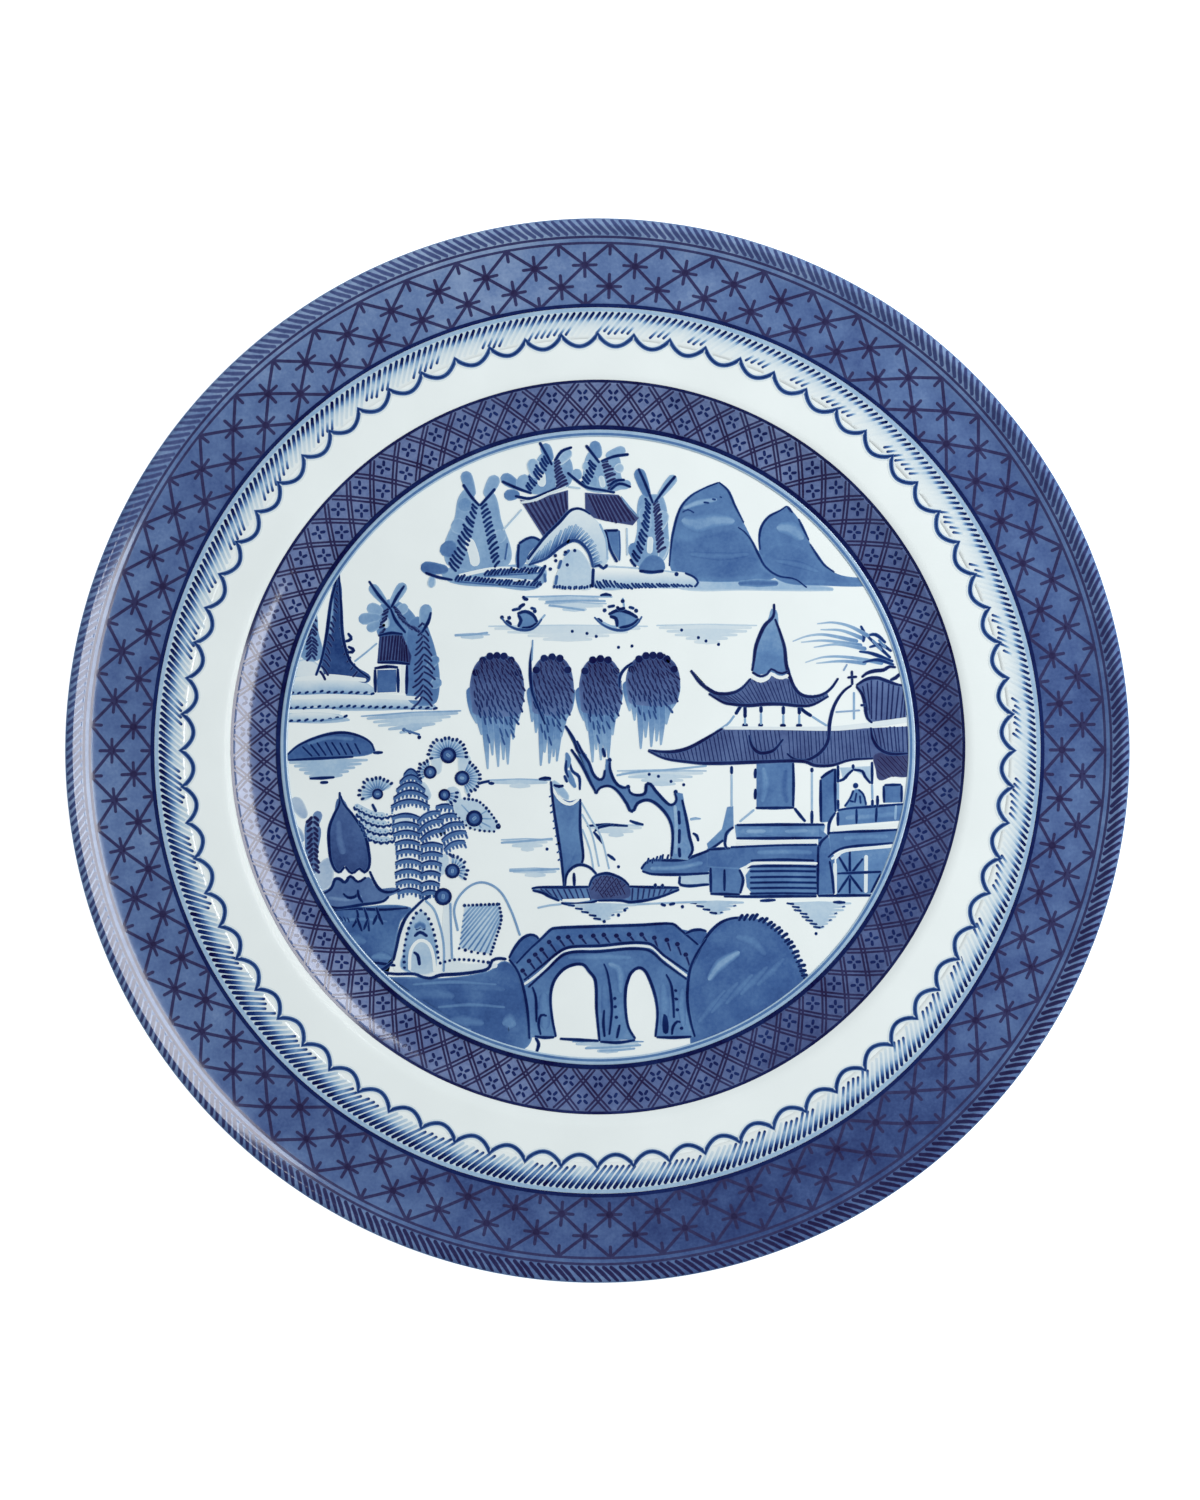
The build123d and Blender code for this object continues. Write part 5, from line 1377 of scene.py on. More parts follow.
def west_island(material):
    ink = Scene()
    spacing = 1.65
    for y, left, right, top in ((13.4, -73, -53, 3.6), (9.8, -73.5, -38.6, 2.9), (6.7, -73.5, -59, 2.2)):
        def tone(px, py, y=y, top=top):
            return 0.44 - 0.36 * np.clip((py - y) / top, 0, 1)

        ink.wash([(left, y + 0.8 * top), ((left + right) / 2, y + top), (right - 3, y + 0.8 * top),
                  (right, y), (left, y - 0.2)], tone, 0.5, edge=0.3)
    ink.wash([(-63.4, 37), (-64, 30), (-64.6, 26), (-65.6, 20), (-66.6, 17.4), (-60, 17), (-54, 16.4),
              (-58.4, 20.4), (-60.4, 25), (-60.8, 31), (-61.5, 41)], 0.80, 0.3, edge=0.7)
    ink.wash([(-73, 17.4), (-72.6, 20.2), (-69, 21.4), (-65.8, 19.6), (-65.4, 17.4)], 0.10, 0.5, edge=0.34)
    ink.wash([(-70.6, 22), (-69.6, 28), (-67.6, 32.6), (-66.4, 28), (-65.8, 21.6)], 0.50, 0.4)
    ink.wash([(-52, 33), (-50.6, 35.4), (-47, 35), (-43, 31), (-42.6, 26.6), (-51.6, 26.4)], 0.56, 0.5)
    ink.wash([(-45, 30), (-42, 31.4), (-39.6, 27), (-37.8, 20), (-37.6, 14), (-39, 10.6), (-45, 11.6),
              (-45.4, 20)], 0.60, 0.5)
    ink.lobes(((-54, 39), (-50.4, 34.6), 2.6, 0.52), ((-45.9, 39.4), (-49, 34.4), 2.8, 0.46),
              ((-54.8, 33.8), (-51, 32.6), 3.2, 0.46), ((-56.8, 30.8), (-51.6, 31.4), 3.0, 0.50),
              ((-54.8, 28.4), (-51.6, 30), 2.6, 0.50), ((-45.3, 34.2), (-48, 32), 2.8, 0.46),
              ((-40.6, 34.4), (-41.4, 29), 3.2, 0.50), ((-37.4, 16.6), (-39.6, 14.6), 2.8, 0.50),
              ((-38, 22), (-40.4, 19), 2.4, 0.54), ((-72.8, 25), (-70.6, 23), 2.4, 0.44))
    ink.warm = 0.4
    ink.wash([(-52.4, 20.6), (-51.9, 26.9), (-46.4, 27.3), (-44.2, 22.2), (-44.6, 20)], 0.82, 0.25,
             straight=True)
    ink.warm, ink.layer = 0.0, 1
    ink.brush([(-63, 36), (-63.4, 31), (-63.6, 27)], (0.8, 1.6, 1.0), 0.46, 0.80)
    ink.brush([(-50.4, 31.4), (-50.2, 28.8)], 2.0, 0.22, 0.5)
    ink.wash([(-46.6, 20.4), (-45.4, 20.4), (-45.4, 13.4), (-46.6, 13.4)], 0.04, 0.2, straight=True)
    ink.wash([(-53.2, 19.6), (-46.9, 19.8), (-46.9, 13.2), (-53.2, 13)], 0.04, 0.2, straight=True)
    for y, left, right in ((16.6, -72.4, -55), (12.2, -73, -42), (8.9, -73, -61)):
        ink.line([(left, y), ((left + right) / 2, y + 0.5), (right, y - 0.2)], (0.8, 1.3, 0.8), 0.06)
    ink.wash([(-52.4, 18.8), (-47.9, 18.9), (-47.9, 13.6), (-52.4, 13.4)], 0.68, 0.3, edge=0.74,
             straight=True)
    ink.warm = 0.3
    ink.dabs([(-62, 39), (-63, 33), (-64.4, 26), (-66, 18.6)], 15, (1.0, 1.8, 3.0), -58, 0.6, 0.93)
    ink.dabs([(-61.6, 39), (-60.8, 33), (-60.2, 26), (-57, 18.6)], 12, (0.8, 1.4, 2.0), -122, 0.6, 0.93)
    for lean in (225, -45):
        ink.dabs([(-68, 31.4), (-68, 27), (-68, 22.4)], 11, 1.9, lean, 0.62, 0.9)
        ink.dabs([(-41.6, 30), (-41.4, 22), (-41.6, 12.4)], 13, (1.8, 3.4, 3.2), lean, 0.55, 0.92)
    ink.dabs([(-49.6, 33.6), (-50.2, 30.4), (-50.8, 28)], 8, 1.9, 215, 0.66, 0.92)
    ink.dabs([(-48.8, 34), (-47, 31.2), (-43.6, 28.6)], 12, 2.4, -40, 0.7, 0.93)
    ink.warm = 0.5
    ink.hatch([(-51.4, 26.9), (-46.8, 27.2), (-45.4, 24.6)], [(-52, 20.8), (-47, 20.6), (-44.8, 20.4)], 10,
              0.66, 0.95)
    ink.warm, ink.layer = 0.0, 2
    ink.lines([(-61.7, 43), (-62.4, 39), (-63.4, 35), (-64.4, 27.4), (-65.6, 21.4), (-67, 17.4)],
              [(-61.6, 42), (-61, 34), (-60.6, 27), (-59, 21.2), (-56.6, 18.6), (-54.2, 16.8)],
              [(-54.4, 40), (-52.2, 36.8), (-49.1, 33.2)], [(-45.9, 38.9), (-47.6, 36.4), (-49.1, 33.6)],
              [(-39.6, 32.6), (-40.2, 30.4), (-41.8, 27.6)], [(-49.2, 33.4), (-48, 30.6), (-45.6, 27.6)],
              [(-59.4, 27.6), (-58.6, 26.2), (-60, 25.6)], [(-59.4, 24.4), (-58, 23.4), (-59.6, 23)],
              [(-52, 27), (-49, 27.6), (-46.3, 27.3)], [(-52.4, 20.6), (-48, 20.6), (-44.6, 20.2)],
              [(-53.1, 19.2), (-50, 19.6), (-47.4, 19.4)], [(-47.5, 19.2), (-47.4, 13.4)],
              [(-52.9, 19), (-52.8, 13.4)], [(-45.3, 20), (-45.4, 13)], width=(0.55, 0.85, 0.6),
              density=0.94)
    ink.line([(-57.8, 20.8), (-55, 23), (-52.4, 25.2)], 0.4, 0.4)
    for row in ([(-73.2, 13), (-64, 13.3), (-54, 13)], [(-73.6, 9.6), (-57, 9.8), (-39.2, 9.5)],
                [(-73.4, 6.5), (-67, 6.6), (-60.4, 7.4)]):
        ink.line(row, 0.35, 0.5)
        ink.dabs(row, round((row[2][0] - row[0][0]) / spacing), 1.1, 24, 0.6, 0.9)
    ink.ripple(-56.3, -32.4, 7.8, 4.6, 0.30, 1.3)
    ink.dots((-46, 4.6), (-44.6, 4), (-42.4, 2.8), size=0.9)
    ink.line([(-46.4, 4.8), (-44.8, 4.2), (-42.2, 3.4)], 0.5, 0.7)
    ink.piece("west_island_strokes", "west_island", "island_blue", material)


def small_islet(material):
    ink = Scene()
    ink.wash([(-74, -1.5), (-71, 1), (-66, 3), (-61, 3.8), (-57, 3.2), (-54, 1.5), (-53, -0.8), (-60, -2),
              (-74, -2.8)], 0.71, 0.3, edge=0.5)
    for k in range(5):
        ink.line([(-73.4 + 1.2 * k, -3.2 - 0.85 * k), (-64, -2.9 - 0.9 * k),
                  (-54.6 - 1.5 * k, -2.6 - 0.9 * k)], (0.6, 1.2, 0.5), 0.34)
    ink.layer = 1
    ink.brush([(-69, 1.2), (-64, 2.6), (-58, 2.4)], 1.2, 0.60, 0.71)
    ink.hatch([(-71, 0.4), (-66, 1.8), (-57, 1.4)], [(-68.6, -1.8), (-62, -1.5), (-55.6, -1.2)], 8, 0.62,
              0.92)
    ink.lines([(-74, -1.6), (-71, 0.9), (-66, 3), (-61, 3.9), (-57, 3.2), (-54, 1.5), (-53, -0.7)],
              [(-53.4, -0.9), (-51, -0.8)], [(-73.6, -2.6), (-66, -2.2), (-58, -1.8)],
              [(-68.5, -7), (-65.5, -6.9), (-62.5, -6.7)], [(-66, -8), (-64, -7.9)],
              width=(0.55, 0.8, 0.55), density=0.92)
    ink.piece("small_islet_strokes", "small_islet", "bank_blue", material)


def garden_hut(material):
    ink = Scene(layer=1, warm=0.25)
    ink.wash([(-66, -27), (-63.6, -26), (-63, -31.8), (-65.8, -33.6), (-68.4, -30.6)], 0.34, 0.5)
    ink.wash([(-61.3, -11.6), (-62.6, -15), (-63.8, -20), (-63.6, -25), (-62.8, -28.2), (-61.4, -29.2),
              (-60, -27.8), (-58.4, -29.4), (-56.6, -28.2), (-55.4, -29.2), (-54.4, -28), (-54.6, -24),
              (-56, -19.6), (-58.6, -15.4)], lambda x, y: 0.73 + 0.05 * np.clip((-24 - y) / 4, -1, 1), 0.35)
    ink.wash([(-66.6, -34.4), (-64, -33.2), (-62, -30.6), (-60.2, -31.6), (-58.8, -30.2), (-57, -31.6),
              (-54.4, -30.4), (-52.6, -33), (-47.2, -33.4), (-49.8, -35.2), (-53, -36.6), (-59, -37.5),
              (-62, -37.8), (-65.4, -35.8)], 0.63, 0.35)
    ink.wash([(-69.2, -17), (-67.4, -17.4), (-65.8, -19), (-66.4, -24), (-67, -29.4), (-69, -29),
              (-69.6, -22)], 0.62, 0.5)
    ink.lobes(((-72.4, -11.6), (-69.4, -16.4), 3.4, 0.32), ((-66.2, -14.8), (-67.6, -19), 2.4, 0.52),
              ((-72.6, -18.6), (-70, -22), 3.0, 0.40))
    ink.layer = 2
    ink.brush([(-61.6, -17), (-61.4, -21), (-60.4, -25)], 1.8, 0.62, 0.70)
    ink.brush([(-64, -35.4), (-59.6, -35.8), (-56, -35)], 1.2, 0.52, 0.63)
    ink.warm = 0.5
    ink.dabs([(-67.8, -16), (-67.8, -21), (-67.6, -28.4)], 11, 2.0, 225, 0.75, 0.92)
    ink.dabs([(-67.6, -16), (-67.6, -21), (-67.4, -28.4)], 11, 1.8, -45, 0.75, 0.92)
    ink.warm = 0.0
    ink.layer = 3
    ink.lines([(-61.3, -10.2), (-61.4, -13), (-62.8, -16), (-63.8, -19), (-63.8, -23), (-63.2, -27),
               (-61.6, -29.3), (-60.2, -28)],
              [(-61.2, -11), (-60.4, -13), (-58, -16), (-55.5, -20), (-54.5, -24), (-54.3, -27.6),
               (-55.4, -29.3), (-56.6, -28.4), (-58.4, -29.5), (-60, -27.9)],
              [(-66.8, -34.6), (-64.8, -34.2), (-63.2, -33), (-62.4, -31), (-61.4, -30.9), (-60, -31.7),
               (-58.8, -30.3), (-57, -31.6), (-55, -30.5)],
              [(-54.2, -29), (-53.1, -31.5), (-52, -33.2), (-50.5, -34), (-48.5, -33.9), (-47, -33.2)],
              [(-65.7, -35.8), (-64, -37.2), (-62, -37.8), (-59, -37.5), (-56, -37), (-51, -36.2),
               (-49.6, -35)], [(-60.5, -34.3), (-59.4, -35.3), (-57.5, -35), (-56.7, -33.6)],
              [(-57, -33.4), (-56.8, -35), (-55.8, -36.6)], [(-57.3, -38), (-57, -40), (-58.3, -42.4)],
              [(-57.2, -40), (-56, -43.4)], [(-55.6, -37.6), (-54.8, -40), (-54.3, -43.4)],
              [(-54.6, -40.4), (-55.6, -43)], [(-52.6, -37.6), (-52, -39.6), (-51, -41.8)],
              [(-52.4, -39.4), (-53.4, -41.8)], width=(0.55, 0.85, 0.6), density=0.93)
    ink.dabs([(-64, -39.6), (-61.4, -39.8), (-59.6, -40)], 6, 1.4, -65, 0.45, 0.88)
    ink.piece("garden_hut_strokes", "garden_hut", "house_blue", material)


def beads(ink, guide, gap, size=0.72, density=0.9):
    """Dots set along a guide line."""
    steps = curve(guide, step=0.2)
    for x, y in steps[::max(1, round(5 * gap))]:
        ink.dot(x, y, size * DRAW.uniform(0.85, 1.15), density)


def fan_petals(ink, x, y, r_in, r_out, start, stop):
    """Pale petals round a flower: rays of thin colour that end in dark ticks."""
    layer, count = ink.layer, max(3, round(math.radians(stop - start) * r_out / 1.1))
    turns = np.linspace(start, stop, 9)
    ink.wash(np.vstack([polar(r_out - 0.6, turns), polar(r_in, turns[::-1])]) + (x, y), 0.27, 0.3)
    ink.layer = layer + 1
    for i in range(count):
        way = start + (stop - start) * (i + 0.5) / count
        ink.line([polar(r_in, way) + (x, y), polar(r_out - 0.8, way) + (x, y)], 0.42, (0.66, 0.50, 0.36),
                 straight=True)
        reach = r_out + 0.2 * DRAW.normal()
        ink.line([polar(reach - 1.0, way) + (x, y), polar(reach, way) + (x, y)], 0.66, 0.90, straight=True)
    ink.layer = layer


def blossom(ink, x, y, r):
    """The dark round heart of a flower."""
    layer, way = ink.layer, DRAW.uniform(0, 360)
    ink.layer = layer + 2
    ink.wash([polar(r, a) + (x, y) for a in range(0, 360, 45)], 0.92, 0.2, edge=0.9)
    ink.layer = layer + 3
    ink.wash([polar(r * 0.68, a) + (x, y) for a in range(0, 360, 45)], 0.70, 0.3, edge=0.82)
    ink.line([polar(0.3 * r, way) + (x, y), polar(0.3 * r, way + 180) + (x, y)], 0.3 * r, 0.56,
             straight=True)
    ink.layer = layer


def scale_row(ink, x, y, half, bow=0.5, turn=0.0, dark=0.9):
    """One row of a scaly leaf: a dark-edged bowed band with a fringe of short strokes below it."""
    layer, half, bow = ink.layer, half + 0.35, bow + 0.35
    count, leans = max(3, round(2 * half / 0.95)), (-1, -0.5, 0, 0.5, 1)
    ahead, down = polar(1.0, turn), polar(1.0, turn - 90)

    def place(lean, drop):
        return (x, y) + ahead * lean * half + down * (drop + bow * (lean**2 - 0.4))

    for i in range(count):
        lean = (i + 0.5) / count * 2 - 1
        tip = place(1.04 * lean, 1.75 + 0.15 * DRAW.normal())
        ink.line([place(lean, 0.5), tip], (0.62, 0.46), (0.86, 0.80, 0.60), straight=True)
    ink.layer = layer + 1
    ink.line([place(t, 0.38) for t in leans], (0.7, 1.15, 0.7), 0.66, soft=0.3, under=0.58)
    ink.layer = layer + 2
    ink.line([place(t, -0.1) for t in leans], (0.4, 0.55, 0.4), dark)
    ink.layer = layer


def garden_leaves(ink):
    base = ink.layer
    ink.lobes(((-38.4, -1), (-38, -6), 3.0, 0.22), ((-34.8, -9), (-33.8, -14), 4.4, 0.24),
              ((-31.6, -1), (-31.8, -7), 3.4, 0.22), ((-42.8, -8), (-40, -12), 3.4, 0.26),
              ((-36.4, -25), (-37.4, -30), 3.4, 0.26), ((-48, -16), (-44, -19), 4.0, 0.20))
    for x, y, half, bow in ((-44.4, -5.4, 1.3, 1.0), (-44.4, -6.9, 2.3, 1.3), (-44.4, -8.7, 3.1, 1.4),
            (-44.4, -10.6, 3.8, 1.4), (-44.5, -12.7, 4.3, 1.2), (-45.6, -15.8, 3.0, 0.5),
            (-45.6, -17.8, 3.0, 0.5), (-45.4, -19.8, 2.9, 0.5), (-45.2, -22, 2.7, 0.4),
            (-45, -24.2, 2.7, 0.4), (-45, -26.6, 2.8, 0.5), (-45, -29, 2.9, 0.5), (-44.9, -31.4, 2.8, 0.5),
            (-44.7, -33.6, 2.6, 0.5), (-39.4, -22.6, 2.4, 0.3), (-39.4, -24.8, 2.3, 0.3),
            (-39.5, -27, 2.2, 0.4), (-39.7, -29.4, 2.1, 0.4), (-39.8, -31.8, 2.0, 0.4),
            (-39.8, -34, 1.8, 0.4)):
        scale_row(ink, x, y, half, bow)
    for x, y, half, turn in ((-40.3, -15.6, 2.6, 24), (-40, -17.7, 2.8, 26), (-39.5, -19.9, 2.8, 24),
            (-35.6, -13.6, 2.5, -8), (-35.4, -15.8, 2.6, 6), (-34.9, -18, 2.8, 16), (-34.3, -20.2, 2.8, 20),
            (-34.2, -22.5, 2.4, 22)):
        scale_row(ink, x, y, half, 0.5, turn, 0.86)
    for k in range(4):
        guide = curve([(-57.8 + 0.7 * k, -13.4 - 1.7 * k), (-54.4, -15.2 - 1.85 * k),
                       (-51.4, -15.9 - 1.95 * k), (-48.8, -15.4 - 2.0 * k)], step=0.1)
        ink.line(guide[::20], 1.5, 0.26)
        for spot, way in list(zip(guide, across(guide)))[6::13]:
            side = np.array([way[1], -way[0]]) * 0.62
            ink.layer = base + 1
            ink.line([spot + side - 0.25 * way, spot - 0.75 * way, spot - side - 0.25 * way],
                     (0.45, 0.7, 0.45), 0.88)
            ink.line([spot + 0.45 * way, spot - 0.1 * way], 0.42, (0.3, 0.7), straight=True)
            ink.layer = base
    ink.layer = base + 3
    for x, y, r_in, r_out, start, stop in ((-35.6, -1.6, 1.8, 4.8, -10, 195),
            (-32.2, -6.9, 1.8, 4.6, -75, 70), (-39.8, -5.6, 1.6, 3.4, 95, 220),
            (-52.3, -10.7, 1.3, 4.5, 30, 205), (-34.5, -29, 1.8, 3.9, -40, 95),
            (-36.4, -10.9, 1.4, 3.4, -60, 20)):
        fan_petals(ink, x, y, r_in, r_out, start, stop)
    leaf = [(-34, -12.2), (-31.6, -11.8), (-28.4, -12.4), (-25.8, -14.8), (-23.4, -18.2), (-24.6, -19.6),
            (-27.6, -19.4), (-30.6, -18.6), (-33.8, -15.4)]
    ink.wash(leaf, 0.26, 0.3)
    ink.layer = base + 4
    for spot in ((-26.2, -14.6), (-25.2, -16.6), (-25.4, -18.6), (-27.6, -18.8), (-32.4, -13.2),
                 (-31.6, -17)):
        ink.line([(-29.3, -16.5), spot], 0.34, (0.6, 0.4), straight=True)
    beads(ink, leaf[1:5], 1.0)
    beads(ink, leaf[5:], 1.3, 0.6)
    ink.dot(-23.6, -18.4, 1.2, 0.93)
    ink.lines([(-28.5, -8.3), (-27.2, -7.9), (-25.6, -7.6)], [(-35.4, -24.8), (-34, -26)],
              [(-53.6, -13), (-52.6, -15)], width=0.65, density=0.92)
    for x, y, r in ((-35.5, -1.5, 1.95), (-39.8, -5.5, 1.6), (-32.2, -6.9, 1.8), (-36.4, -10.9, 1.45),
                    (-29.3, -16.5, 2.0), (-52.3, -10.7, 1.35), (-34.5, -29, 1.8), (-36.7, -35.1, 2.1)):
        blossom(ink, x, y, r)
    ink.layer = base


def garden_rocks(ink):
    base = ink.layer
    outer = [(-41.4, -35.8), (-43, -37.4), (-45.5, -40), (-47, -43.5), (-47.8, -47), (-48.5, -50.4),
             (-48, -53.2), (-38.6, -54.2), (-36.8, -53.6), (-36.4, -48.5), (-36.8, -45), (-37.8, -41),
             (-39.4, -38)]
    inner = [(-42.2, -38.2), (-43.8, -40), (-45.4, -43.5), (-46.3, -48), (-46.6, -52.4), (-39.4, -53.2),
             (-38, -49), (-38.6, -45), (-39.8, -41.4), (-40.8, -39)]
    ink.wash(outer, 0.03, 0.3, edge=0.05)
    ink.wash([(-37, -50.4), (-36.4, -36), (-34.6, -36), (-33.8, -49.6), (-24, -51), (-24, -52),
              (-37, -53.4)], 0.10, 0.4)
    ink.layer = base + 1
    ink.wash(inner, lambda x, y: 0.42 - 0.012 * (y + 46), 0.4, edge=0.16)
    sheaf = [(-31.6, -37.2), (-23.4, -36.9), (-22.9, -40.5), (-25.4, -48.8), (-32.9, -47.4)]
    ink.wash(sheaf, 0.27, 0.3, edge=0.12, straight=True)
    ink.layer = base + 2
    ink.wash([(-44.6, -52.8), (-44.4, -48.4), (-43.4, -46.4), (-42, -45.6), (-40.3, -46.4), (-39.2, -49),
              (-38.8, -53)], 0.30, 0.4, edge=0.1)
    ink.hatch([(-31.8, -39), (-32.9, -47.2), (-26, -48.8)], [(-30.4, -37.4), (-23.4, -37), (-23, -41)], 11,
              0.44, (0.60, 0.44))
    ink.layer = base + 3
    ink.line([(-44.7, -52.6), (-44.5, -48.4), (-43.5, -46.4), (-42, -45.5), (-40.2, -46.3), (-39.1, -49),
              (-38.7, -53)], 0.7, RESIST)
    ink.lines([(-41.3, -35.7), (-43, -37.3), (-45.5, -40), (-47, -43.5), (-47.8, -47), (-48.6, -50.4)],
              [(-48.6, -50.4), (-50.4, -52), (-52.4, -53)], [(-39.8, -34.8), (-41.2, -35.8)],
              [(-52.3, -53), (-48, -53.5), (-43.5, -53.5), (-41.5, -54.3), (-39.5, -54.5), (-37.5, -53.8),
               (-33, -53.5), (-29, -53), (-26, -52.2), (-25, -50.3), (-23.5, -49.8), (-21.6, -50)],
              [(-43.6, -44.6), (-42.2, -43.6), (-40.4, -44.6)], [(-43.2, -43), (-42, -42.2), (-41, -43)],
              [(-43.8, -48.3), (-42.8, -49), (-42.3, -51.5)], width=(0.6, 0.85, 0.7), density=0.92)
    ink.brush([(-43.4, -42.6), (-42.2, -41.6), (-41, -42.6)], 1.5, 0.66, 0.44)
    ink.lines([(-41, -36), (-39, -38), (-37.8, -41), (-36.8, -45), (-36.5, -48.5), (-36.6, -53)],
              [(-33.2, -43.3), (-34, -37.6), (-31.4, -33.4), (-27.5, -31.7), (-23.4, -33.6), (-20.6, -38.3),
               (-18.4, -44.4)], [(-35, -36.6), (-34.8, -44), (-34.6, -50)], width=0.5, density=0.46)
    ink.layer = base + 4
    for guide, gap in (([(-45.9, -52), (-46, -48), (-45, -43), (-43.8, -40.2), (-42.2, -38.4),
                        (-40.8, -39.4), (-39.4, -42), (-38.4, -46), (-37.8, -50)], 1.35),
                       ([sheaf[0], sheaf[1]], 1.0), ([sheaf[1], sheaf[2], (-24, -44.6), sheaf[3]], 1.0),
                       ([sheaf[4], (-29, -48.4), sheaf[3]], 1.5),
                       ([(-37.4, -50.9), (-34, -50.1), (-30, -50.2), (-25.6, -50.8)], 1.2)):
        beads(ink, guide, gap)
    ink.layer = base


def flower_garden(material):
    ink = Scene(layer=2)
    garden_rocks(ink)
    ink.layer = 2
    garden_leaves(ink)
    ink.piece("flower_garden_strokes", "flower_garden", "garden_blue", material)


